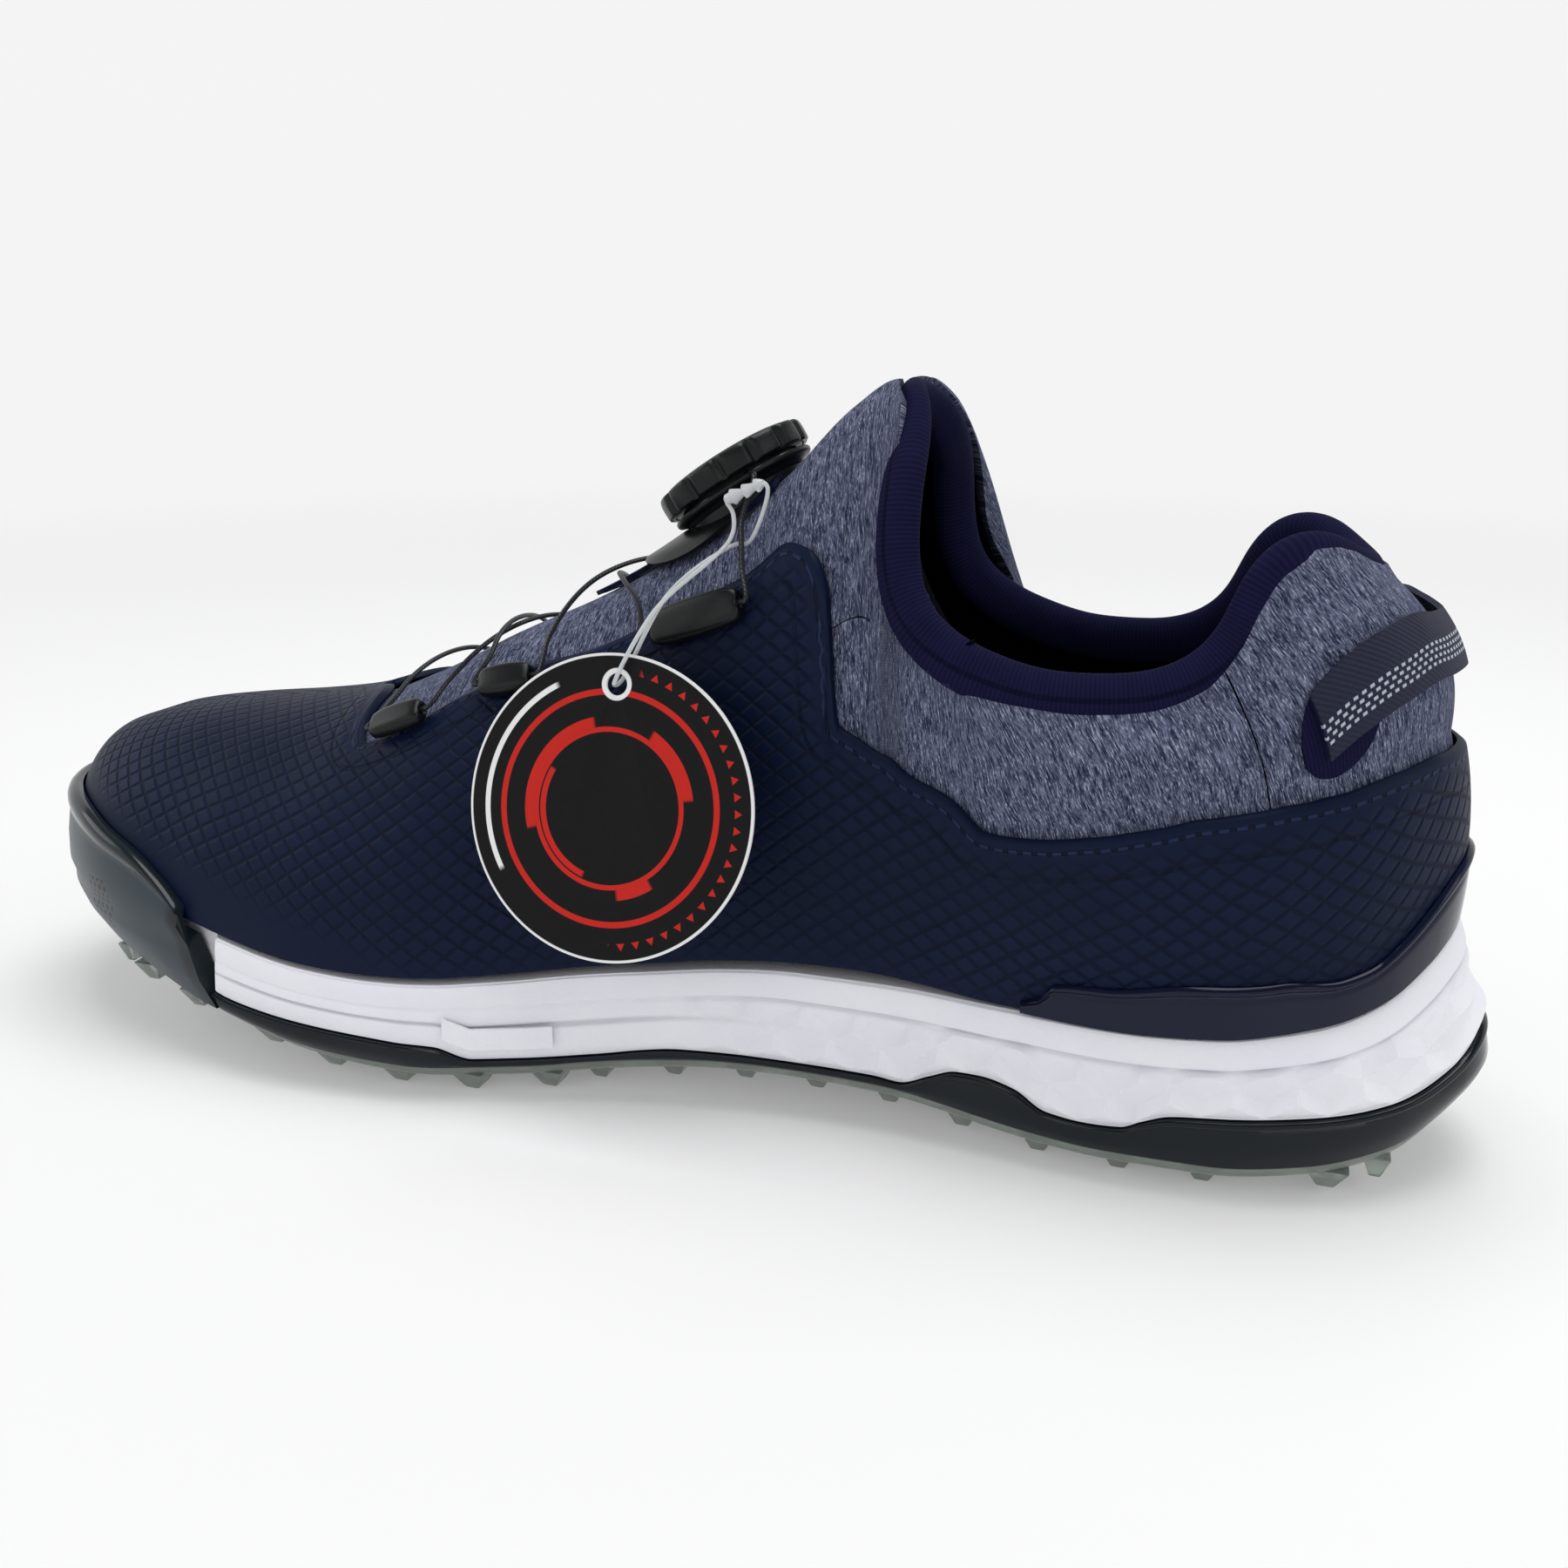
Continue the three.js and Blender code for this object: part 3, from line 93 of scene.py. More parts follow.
# %%
def curve(*knots):
    """A function through (x, y) knots that keeps each stretch between two knots monotone."""
    x = np.array([k[0] for k in knots], float)
    y = np.array([k[1] for k in knots], float)
    h = np.diff(x)
    d = np.diff(y) / h
    m = np.zeros(len(x))
    m[0], m[-1] = d[0], d[-1]
    for i in range(1, len(x) - 1):
        if d[i - 1] * d[i] > 0:
            before = (2 * h[i] + h[i - 1]) / d[i - 1]
            after = (h[i] + 2 * h[i - 1]) / d[i]
            m[i] = 3 * (h[i - 1] + h[i]) / (before + after)

    def at(value):
        t = np.clip(value, x[0], x[-1])
        i = np.clip(np.searchsorted(x, t, side="right") - 1, 0, len(h) - 1)
        s = (t - x[i]) / h[i]
        rise = (1 + 2 * s) * (1 - s) ** 2 * y[i] + s * (1 - s) ** 2 * h[i] * m[i]
        return rise + s * s * (3 - 2 * s) * y[i + 1] + s * s * (s - 1) * h[i] * m[i + 1]

    return at


def smoothstep(low, high, value):
    """0 at low, 1 at high, and eased between them."""
    t = np.clip((value - low) / (high - low), 0, 1)
    return t * t * (3 - 2 * t)


def station_of(u):
    return -HALF * np.cos(np.pi * np.asarray(u, float))


def column_at(station):
    return np.arccos(np.clip(-np.asarray(station, float) / HALF, -1, 1)) / np.pi


HALF = 151
sole_width = {
    MEDIAL: curve(
        (0, 4), (0.05, 14.5), (0.1, 24.5), (0.15, 33.5), (0.2, 41), (0.25, 46.5), (0.3, 50.5),
        (0.35, 52.2), (0.4, 50.3), (0.45, 43), (0.5, 35.5), (0.55, 32.3), (0.6, 31.7), (0.65, 34),
        (0.7, 35.8), (0.75, 35.2), (0.8, 31.6), (0.85, 26), (0.9, 18.3), (0.95, 9.6), (1, 0),
    ),
    LATERAL: curve(
        (0, 4), (0.05, -4.5), (0.1, -13), (0.15, -21.5), (0.2, -29.5), (0.25, -37), (0.3, -43.5),
        (0.35, -48.5), (0.4, -51.3), (0.45, -52.2), (0.5, -50.6), (0.6, -45), (0.7, -39.3),
        (0.75, -36.3), (0.8, -32.3), (0.85, -26.5), (0.9, -18.3), (0.95, -9.5), (1, 0),
    ),
}
sole_bottom = curve(
    (-151, 20), (-139, 18.5), (-132, 17), (-118, 15), (-107, 13), (-96, 11.3), (-86, 9.4), (-75, 7.3),
    (-66, 5.8), (-50, 4), (-38, 3.4), (-25, 3.6), (-7, 5), (16, 6.8), (30, 7), (45, 6.6), (59, 5.4),
    (75, 3.8), (87, 3.4), (104, 3.4), (121, 4.2), (137, 7.2), (147, 12.5), (151, 15),
)
rim_top = curve(
    (-151, 24), (-92, 18), (-84, 15.6), (-75, 14.3), (-60, 12.8), (-46, 11.6), (-38, 10.9), (-31, 8),
    (-22, 8.3), (-9, 9.2), (8, 11.4), (30, 11.5), (45, 11.3), (50, 10.8), (56, 13.4), (61, 15.5),
    (66, 15.8), (72, 14.7), (78, 11.6), (84, 11.1), (91, 11.5), (94.5, 13.2), (99, 14.9), (105, 15.6),
    (125, 17.1), (135, 18.8), (145, 23), (151, 27),
)
feather_height = curve(
    (-151, 33), (-120, 31), (-95, 28.8), (-85, 27), (-75, 25.3), (-65, 24.1), (-50, 23.2), (-38, 23.2),
    (-28, 23.7), (-15, 25), (0, 26.3), (15, 28), (30, 29), (90, 29), (105, 29.8), (115, 31),
    (124, 32.5), (131, 34.5), (137, 37), (142, 40), (147, 43.5), (151, 46),
)
footbed = curve((-151, 25), (-110, 20), (-60, 15), (-20, 15.5), (20, 20), (60, 22.5), (151, 24))
feather_inset = curve((-151, 0.8), (-120, 0.6), (-95, 1.5), (100, 1.5), (125, 3), (140, 5.5), (151, 7))
bottom_inset = curve((-151, 6), (-120, 5), (-80, 3), (0, 2.2), (100, 2.2), (151, 3))
widest = curve((-151, 30), (-110, 24), (-90, 16), (-60, 11), (0, 12), (100, 14), (151, 21))
UPPER_SEAT = 3.2  # inset of the upper from the edge of the midsole

# %% [markdown]
# The top line runs up the ridge of the vamp and tongue, then round the collar to the heel.

# %%
TONGUE_TOP = 40
ridge = [
    (-151, 0, -133, 57.2), (-140, 0, -125, 60), (-120, 0, -111, 62.4), (-100, 0, -94, 64.6),
    (-80, 0, -78, 67.6), (-60, 0, -60, 74.5), (-40, 0, -40, 84.5), (-20, 0, -20, 93.5),
    (-10, 0, -10, 98.9), (0, 0, 0, 105.3), (10, 0, 10, 111.8), (20, 0, 19, 118.2),
    (34, 0, 33, 131.5), (TONGUE_TOP, 0, 41, 136),
]
rim_line = {
    MEDIAL: [
        (46, 13.5, 46, 135.2), (50, 21, 48.4, 129), (55, 26.5, 49, 121.5), (60, 29, 49, 113),
        (66, 31, 50.5, 103), (72, 32.5, 55, 97.5), (80, 33, 64, 93), (90, 32, 76, 90.3),
        (100, 30.5, 87, 90.6), (110, 28.5, 95.5, 93.2), (118, 27, 100.8, 99), (124, 25.8, 103, 105.5),
        (130, 24, 106.5, 111), (136, 20.5, 111.5, 113.6), (142, 15.5, 115.5, 113),
        (147, 9, 119.5, 110), (151, 0, 123, 107.5),
    ],
    LATERAL: [
        (46, -14, 43.5, 133), (50, -21, 46, 127), (55, -26.5, 46.5, 120), (60, -29, 46.5, 111.5),
        (66, -30.5, 48, 101.5), (72, -31.8, 52.5, 96), (80, -32, 61.5, 91.5), (90, -31, 74, 88.6),
        (100, -29.5, 85, 88.9), (110, -28, 93.5, 91.5), (118, -26.5, 99, 97), (124, -25.3, 101.5, 103.5),
        (130, -23.5, 105.5, 109.5), (136, -20.3, 111, 112.3), (142, -15.5, 115.5, 112),
        (147, -9, 119.5, 109.5), (151, 0, 123, 107.5),
    ],
}
rims = {
    side: [curve(*[(k[0], k[axis]) for k in ridge + rim_line[side]]) for axis in (1, 2, 3)]
    for side in (MEDIAL, LATERAL)
}
arch_share = curve((-151, 1), (40, 1), (50, 0.6), (60, 0.2), (66, 0), (151, 0))
arch_fullness = curve(
    (-151, 0.72), (-120, 0.8), (-60, 0.95), (-10, 0.95), (20, 0.62), (34, 0.45), (45, 0.36), (151, 0.36)
)
wall_bulge = curve(
    (-151, 1.5), (-130, 1.2), (-100, 0), (0, 0), (40, 1), (60, 3), (90, 4.5), (120, 3.5), (151, 2)
)
wall_lean = curve((-151, 3), (60, 4), (110, 3), (151, 2.2))


def edge(side, u):
    """The widest outline of the sole, seen from above."""
    return np.stack([sole_width[side](u), station_of(u)], -1)


def outward(side, u):
    """The level direction away from the shoe, square to its outline."""
    u = np.asarray(u, float)
    along = edge(side, np.clip(u + 1e-3, 0, 1)) - edge(side, np.clip(u - 1e-3, 0, 1))
    n = np.stack([along[..., 1], -along[..., 0]], -1) * side
    n = n / np.linalg.norm(n, axis=-1, keepdims=True)
    n[u < 1e-6] = (0, -1)
    n[u > 1 - 1e-6] = (0, 1)
    return n


def footprint(side, u, inset, z):
    """A point at height z, a given inset inside the outline."""
    p = edge(side, u) - outward(side, u) * np.asarray(inset, float)[..., None]
    return np.concatenate([p, np.broadcast_to(z, p.shape[:-1])[..., None]], -1)


def top_line(side, station):
    own = np.stack([f(station) for f in rims[side]], -1)
    other = np.stack([f(station) for f in rims[-side]], -1)
    shared = (np.asarray(station) <= TONGUE_TOP + 0.01)[..., None]
    return np.where(shared, (own + other) / 2, own)


def wall(side, u, v):
    """The last's surface: v is 0 at the feather line, 1 at the top line and -1 at the footbed."""
    u, v = np.broadcast_arrays(np.asarray(u, float), np.asarray(v, float))
    s = station_of(u)
    seat = feather_inset(s) + UPPER_SEAT
    foot = footprint(side, u, seat, feather_height(s))
    bed = footprint(side, u, seat + UPPER_SEAT, footbed(s))
    reach = top_line(side, s) - foot
    up = np.clip(v, 0, 1)
    arch = arch_share(s)
    fall = 1 - np.maximum(np.cos(up * np.pi / 2), 0) ** arch_fullness(s)
    fall = np.where(up > 1 - 1e-6, 1, fall)
    inward = arch * fall + (1 - arch) * up ** wall_lean(s)
    rise = arch * np.sin(up * np.pi / 2) + (1 - arch) * up
    swell = outward(side, u) * (wall_bulge(s) * np.sin(np.pi * up))[..., None]
    p = foot + reach * np.stack([inward, inward, rise], -1)
    p[..., :2] += swell
    down = np.clip(-v, 0, 1)[..., None]
    return np.where(down > 0, foot + (bed - foot) * down, p)


def wall_normal(side, u, v):
    """The last's outward direction, shared by both sides along the closed ridge."""
    u, v = np.broadcast_arrays(np.asarray(u, float), np.asarray(v, float))
    e = 2e-3

    def one(sd):
        along = wall(sd, np.minimum(u + e, 1), v) - wall(sd, np.maximum(u - e, 0), v)
        up = wall(sd, u, np.minimum(v + e, 1)) - wall(sd, u, np.maximum(v - e, -1))
        n = np.cross(along, up) * sd
        return n / np.maximum(np.linalg.norm(n, axis=-1, keepdims=True), 1e-12)

    zipped = (v > 1 - 1e-6) & (station_of(u) < TONGUE_TOP + 0.01)
    n = one(side) + np.where(zipped[..., None], one(-side), 0)
    n[..., 0] = np.where(zipped | (u < 1e-6) | (u > 1 - 1e-6), 0, n[..., 0])
    return n / np.linalg.norm(n, axis=-1, keepdims=True)


def skin(side, u, v, offset):
    """A point that stands an offset off the last."""
    u, v, offset = np.broadcast_arrays(np.asarray(u, float), np.asarray(v, float), np.asarray(offset, float))
    return wall(side, u, v) + wall_normal(side, u, v) * offset[..., None]


print("last: toe ridge", wall(MEDIAL, 0.0, 1.0), "heel", wall(MEDIAL, 1.0, 0.5))

# %% [markdown]
# The collar's opening is one closed loop of top-line points. `under_binding` gives, for each
# column, the lowest v at which the wall comes as near to the loop as the binding reaches.

# %%
def rim_loop(count):
    """Points round the opening from the tongue's top, along the medial side, to the heel and back."""
    path = [top_line(MEDIAL, s) for s in np.linspace(TONGUE_TOP + 1.5, HALF, 260)]
    path += [top_line(LATERAL, s) for s in np.linspace(HALF, TONGUE_TOP + 1.5, 260)[1:]]
    path = np.array(path)
    path = np.vstack([path, path[:1]])
    run = np.concatenate([[0], np.cumsum(np.linalg.norm(np.diff(path, axis=0), axis=1))])
    at = np.linspace(0, run[-1], count + 1)[:-1]
    return np.stack([np.interp(at, run, path[:, k]) for k in range(3)], -1)


def smoothed(values, width):
    """A closed loop of values, averaged with neighbours over a width."""
    k = np.exp(-((np.arange(-3 * width, 3 * width + 1) / width) ** 2))
    k /= k.sum()
    return sum(w * np.roll(values, shift, 0) for w, shift in zip(k, range(-3 * width, 3 * width + 1)))


BINDING_REACH = 3.2
rim_path = smoothed(rim_loop(720), 11)
reach_table = {}
for side in (MEDIAL, LATERAL):
    table_stations = np.concatenate([np.linspace(26, 60, 90), np.linspace(61, 151, 60)])
    vs = np.linspace(0.25, 1, 160)
    grid = wall(side, column_at(table_stations)[:, None], vs[None, :])
    gaps = grid[:, :, None, :] - rim_path[None, None, ::4, :]
    nearest = np.min(np.linalg.norm(gaps, axis=-1), axis=2)
    near = nearest <= np.maximum(BINDING_REACH, nearest.min(1) + 0.5)[:, None]
    first = np.where(near.any(1), vs[np.argmax(near, axis=1)], 1.0)
    reach_table[side] = (table_stations, first)


def under_binding(s, side):
    return np.interp(s, *reach_table[side])


print("rim loop", round(float(np.linalg.norm(np.diff(rim_path, axis=0), axis=1).sum())), "mm")

# %% [markdown]
# ## Making meshes
# `make` turns points and faces into an object. `panel` builds a sheet of the last between two
# offsets, with a length-true UV map in metres: U runs round the shoe, V up the wall.

# %%
def link(mesh, name):
    obj = bpy.data.objects.new(name.replace(" ", "_"), mesh)
    bpy.context.scene.collection.objects.link(obj)
    return obj


def point_value(mesh, name, values):
    """Stores one number for each point, which a material can read by its name."""
    mesh.attributes.new(name, "FLOAT", "POINT").data.foreach_set("value", np.asarray(values, np.float32))


def make(name, points, faces, material=None, uv=None, attributes=None, angle=40):
    mesh = bpy.data.meshes.new(name)
    mesh.from_pydata([tuple(p) for p in np.asarray(points) * MM], [], [tuple(f) for f in faces])
    for key, values in (attributes or {}).items():
        point_value(mesh, key, values)
    if uv is not None:
        layer = mesh.uv_layers.new(name="UVMap")
        corner = np.zeros(len(mesh.loops), int)
        mesh.loops.foreach_get("vertex_index", corner)
        layer.data.foreach_set("uv", (np.asarray(uv, np.float32) * MM)[corner].ravel())
    bm = bmesh.new()
    bm.from_mesh(mesh)
    bmesh.ops.remove_doubles(bm, verts=bm.verts, dist=1e-6)
    bmesh.ops.dissolve_degenerate(bm, edges=bm.edges, dist=1e-7)
    bmesh.ops.recalc_face_normals(bm, faces=bm.faces)
    for f in bm.faces:
        f.smooth = True
    for e in bm.edges:
        e.smooth = len(e.link_faces) != 2 or e.calc_face_angle(0) < math.radians(angle)
    bm.to_mesh(mesh)
    bm.free()
    if material:
        mesh.materials.append(material)
    return link(mesh, name)


def columns(side, start, end, count, dense=()):
    """Columns from one station to another, even in u, with extra ones around the named stations."""
    a, b = float(column_at(start)), float(column_at(end))
    us = list(np.linspace(a, b, count + 1))
    for station in dense:
        us += list(column_at(np.linspace(station - 2, station + 2, 9)))
    us = np.unique(np.round(np.clip(us, min(a, b), max(a, b)), 6))
    if b < a:
        us = us[::-1]
    return [(side, u) for u in us]


def around(start, end, count, dense=()):
    return columns(MEDIAL, start, end, count, dense) + columns(LATERAL, end, start, count, dense)[1:]


def whole_ring(count, dense=()):
    return columns(MEDIAL, 151, -151, count, dense) + columns(LATERAL, -151, 151, count, dense)[1:-1]


def on_columns(cols, function):
    """Calls function(side, u) for the medial and the lateral columns, and keeps their order."""
    sides = np.array([c[0] for c in cols])
    us = np.array([c[1] for c in cols])
    out = None
    for side in (MEDIAL, LATERAL):
        pick = sides == side
        if not pick.any():
            continue
        value = function(side, us[pick])
        if out is None:
            out = np.zeros((len(cols),) + value.shape[1:])
        out[pick] = value
    return out


def at_side(f, s, side):
    return f(s, side) if f.__code__.co_argcount == 2 else f(s)


def panel_grid(cols, rows, low, high, offset):
    """Points, stations and v of a grid on the last. low and high take a station."""
    t = np.linspace(0, 1, rows + 1)

    def one(side, u):
        s = station_of(u)
        v0, v1 = (np.broadcast_to(at_side(f, s, side), s.shape) for f in (low, high))
        v = v0[:, None] + (v1 - v0)[:, None] * t
        stations = s[:, None] + 0 * v
        off = offset(stations, v) if callable(offset) else offset
        return np.concatenate([skin(side, u[:, None], v, off), stations[..., None], v[..., None]], -1)

    grid = on_columns(cols, one)
    return grid[..., :3], grid[..., 3], grid[..., 4]


def lengths(points, u_row=None):
    """Length-true U and V of a grid of points; U is measured along one row, or the middle one."""
    along = np.linalg.norm(np.diff(points, axis=0), axis=-1)
    middle = along[:, along.shape[1] // 2 if u_row is None else u_row]
    u = np.concatenate([[0], np.cumsum(middle)])[:, None] + 0 * points[..., 0]
    up = np.linalg.norm(np.diff(points, axis=1), axis=-1)
    v = np.concatenate([np.zeros((len(points), 1)), np.cumsum(up, axis=1)], 1)
    return u, v


def panel(
    name, material, cols, rows, low, high, outer, inner, ring=False, angle=40, from_top=False, u_row=None
):
    """A closed sheet of the last between two offsets, from low to high."""
    out, s, v = panel_grid(cols, rows, low, high, outer)
    back = panel_grid(cols, rows, low, high, inner)[0]
    n, m = out.shape[:2]
    uu, vv = lengths(out, u_row)
    height = vv[:, -1:] + 0 * vv
    points = np.concatenate([out.reshape(-1, 3), back.reshape(-1, 3)])
    uv = np.stack([uu, vv - height if from_top else vv], -1).reshape(-1, 2)
    index = np.arange(n * m).reshape(n, m)
    faces = []
    zipped = (v[:, -1] > 1 - 1e-6) & (s[:, -1] < TONGUE_TOP + 0.01)
    for i in range(n if ring else n - 1):
        a, b = index[i], index[(i + 1) % n]
        faces += [(a[j], b[j], b[j + 1], a[j + 1]) for j in range(m - 1)]
        faces += [(a[j] + n * m, a[j + 1] + n * m, b[j + 1] + n * m, b[j] + n * m) for j in range(m - 1)]
        faces.append((a[0], a[0] + n * m, b[0] + n * m, b[0]))
        if not (zipped[i] and zipped[(i + 1) % n]):
            faces.append((a[-1], b[-1], b[-1] + n * m, a[-1] + n * m))
    if not ring:
        for a, flip in ((index[0], False), (index[-1], True)):
            for j in range(m - 1):
                f = (a[j], a[j + 1], a[j + 1] + n * m, a[j] + n * m)
                faces.append(f[::-1] if flip else f)
    attributes = {
        "station": np.tile(s.ravel(), 2),
        "from_low": np.tile(vv.ravel(), 2),
        "inner": np.repeat([0.0, 1.0], vv.size),
    }
    return make(name, points, faces, material, np.tile(uv, (2, 1)), attributes, angle)


def bridge(points):
    """The faces of a whole ring, with strips across the sole that close its first and last row."""
    n, m = points.shape[:2]
    index = np.arange(n * m).reshape(n, m)
    faces = [
        (index[i][j], index[(i + 1) % n][j], index[(i + 1) % n][j + 1], index[i][j + 1])
        for i in range(n) for j in range(m - 1)
    ]
    for j in (0, m - 1):
        for i in range(n // 2):
            loop = []
            for k in (index[i][j], index[i + 1][j], index[(n - i - 1) % n][j], index[(n - i) % n][j]):
                if k not in loop:
                    loop.append(k)
            if len(loop) > 2:
                faces.append(tuple(loop))
    return faces


def tube(name, material, path, radius, sides):
    """A round tube along points in mm; radius is one number or one for each point."""
    path = np.asarray(path, float)
    n = len(path)
    radii = np.broadcast_to(radius, (n,))
    ahead = np.vstack([path[1:], path[-1:] * 2 - path[-2]])
    behind = np.vstack([path[:1] * 2 - path[1], path[:-1]])
    tangent = ahead - behind
    tangent /= np.linalg.norm(tangent, axis=1, keepdims=True)
    normal = np.cross(tangent[0], (0.31, 0.2, 0.93))
    points, uv = [], []
    run = np.concatenate([[0], np.cumsum(np.linalg.norm(np.diff(path, axis=0), axis=1))])
    for i in range(n):
        normal = np.cross(tangent[i], np.cross(normal, tangent[i]))
        normal /= np.linalg.norm(normal)
        b = np.cross(tangent[i], normal)
        for k in range(sides):
            a = 2 * np.pi * k / sides
            points.append(path[i] + radii[i] * (np.cos(a) * normal + np.sin(a) * b))
            uv.append((run[i], k / sides * 2 * np.pi * radii[i]))
    faces = []
    for i in range(n - 1):
        for k in range(sides):
            j, l = i + 1, (k + 1) % sides
            faces.append((i * sides + k, i * sides + l, j * sides + l, j * sides + k))
    faces += [tuple(range(sides)), tuple(range((n - 1) * sides, n * sides))[::-1]]
    return make(name, points, faces, material, uv, {"run": np.repeat(run, sides)}, 50)


def spline(points, count, loop=False):
    """A smooth path of count points through the given ones."""
    p = np.asarray(points, float)
    if loop:
        p = np.vstack([p[-1:], p, p[:2]])
    else:
        p = np.vstack([2 * p[:1] - p[1:2], p, 2 * p[-1:] - p[-2:-1]])
    pieces = []
    for i in range(1, len(p) - 2):
        span = np.linalg.norm(p[i + 1] - p[i])
        k = max(2, int(np.ceil(span / 0.5)))
        d01, d12, d23 = (max(np.linalg.norm(p[i + a + 1] - p[i + a]) ** 0.5, 1e-4) for a in (-1, 0, 1))
        m1 = p[i + 1] - p[i] + d12 * ((p[i] - p[i - 1]) / d01 - (p[i + 1] - p[i - 1]) / (d01 + d12))
        m2 = p[i + 1] - p[i] + d12 * ((p[i + 2] - p[i + 1]) / d23 - (p[i + 2] - p[i]) / (d12 + d23))
        t = np.linspace(0, 1, k, endpoint=False)[:, None]
        pieces.append(
            (2 * t**3 - 3 * t**2 + 1) * p[i] + (t**3 - 2 * t**2 + t) * m1
            + (3 * t**2 - 2 * t**3) * p[i + 1] + (t**3 - t**2) * m2
        )
    if not loop:
        pieces.append(p[-2:-1])
    fine = np.vstack(pieces)
    ends = np.vstack([fine, fine[:1]]) if loop else fine
    run = np.concatenate([[0], np.cumsum(np.linalg.norm(np.diff(ends, axis=0), axis=1))])
    at = np.linspace(0, run[-1], count + 1 if loop else count)
    if loop:
        at = at[:-1]
    return np.stack([np.interp(at, run, ends[:, k]) for k in range(3)], -1)


print("mesh helpers ready")

# %% [markdown]
# ## Shader maths
# `Shade` wraps one material's nodes, and `Value` lets its sockets be added and multiplied.

# %%
class Value:
    def __init__(self, shade, socket):
        self.shade, self.socket = shade, socket

    def math(self, operation, *others):
        return self.shade.node("ShaderNodeMath", "Value", *((self,) + others), operation=operation)

    def __add__(self, other):
        return self.math("ADD", other)

    def __sub__(self, other):
        return self.math("SUBTRACT", other)

    def __mul__(self, other):
        return self.math("MULTIPLY", other)

    def __truediv__(self, other):
        return self.math("DIVIDE", other)

    __radd__, __rmul__ = __add__, __mul__

    def __rsub__(self, other):
        return (self * -1) + other

    def abs(self):
        return self.math("ABSOLUTE")

    def fract(self):
        return self.math("FRACT")

    def sin(self):
        return self.math("SINE")

    def min(self, other):
        return self.math("MINIMUM", other)

    def max(self, other):
        return self.math("MAXIMUM", other)

    def wave(self):
        """A triangle wave of period 1, from 0 to 1 and back."""
        return 1 - (self.fract() * 2 - 1).abs()

    def step(self, low, high):
        return self.shade.node(
            "ShaderNodeMapRange", "Result", self, low, high, 0.0, 1.0, interpolation_type="SMOOTHSTEP"
        )


class Shade:
    """One material: its Principled node, and a method that adds any other node."""

    def __init__(self, name, colour, roughness, **settings):
        self.material = bpy.data.materials.new(name)
        self.material.use_nodes = True
        self.nodes, self.links = self.material.node_tree.nodes, self.material.node_tree.links
        self.surface = self.nodes["Principled BSDF"]
        self.surface.inputs["Base Color"].default_value = (*colour, 1)
        self.surface.inputs["Roughness"].default_value = roughness
        for key, value in settings.items():
            self.surface.inputs[key.replace("_", " ").title().replace("Ior", "IOR")].default_value = value

    def node(self, kind, output, *inputs, named=None, **settings):
        node = self.nodes.new(kind)
        for key, value in settings.items():
            setattr(node, key, value)
        pairs = list(enumerate(inputs)) + list((named or {}).items())
        for key, value in pairs:
            if isinstance(value, Value):
                self.links.new(value.socket, node.inputs[key])
            elif value is not None:
                node.inputs[key].default_value = value
        return Value(self, node.outputs[output])

    def uv(self):
        """U and V in millimetres."""
        both = self.node("ShaderNodeUVMap", "UV", uv_map="UVMap")
        split = self.nodes.new("ShaderNodeSeparateXYZ")
        self.links.new(both.socket, split.inputs[0])
        return Value(self, split.outputs[0]) * 1000, Value(self, split.outputs[1]) * 1000

    def point(self):
        """The point on the object, as a vector."""
        return self.node("ShaderNodeTexCoord", "Object")

    def place(self):
        """The point on the object, as X, Y and Z in millimetres, and the vector."""
        at = self.point()
        split = self.nodes.new("ShaderNodeSeparateXYZ")
        self.links.new(at.socket, split.inputs[0])
        return [Value(self, split.outputs[k]) * 1000 for k in range(3)] + [at]

    def attribute(self, name):
        return self.node("ShaderNodeAttribute", "Fac", attribute_name=name)

    def vector(self, x, y, z=0.0):
        return self.node("ShaderNodeCombineXYZ", "Vector", x, y, z)

    def noise(self, vector, scale, detail=2.0, roughness=0.5):
        return self.node(
            "ShaderNodeTexNoise", "Fac",
            named={"Vector": vector, "Scale": scale, "Detail": detail, "Roughness": roughness},
        )

    def mix(self, factor, a, b):
        """Mixes two colours."""
        pick = lambda c: c if isinstance(c, Value) else (*c, 1)
        node = self.nodes.new("ShaderNodeMix")
        node.data_type = "RGBA"
        for key, value in ((0, factor), (6, pick(a)), (7, pick(b))):
            if isinstance(value, Value):
                self.links.new(value.socket, node.inputs[key])
            else:
                node.inputs[key].default_value = value
        return Value(self, node.outputs[2])

    def set(self, name, value):
        self.links.new(value.socket, self.surface.inputs[name])

    def bump(self, height, depth):
        """Sets the normal from a height of 0 to 1 that stands depth millimetres."""
        named = {"Height": height, "Strength": 1.0, "Distance": depth * MM}
        bumped = self.node("ShaderNodeBump", "Normal", named=named)
        self.set("Normal", bumped)


# %% [markdown]
# ## Materials

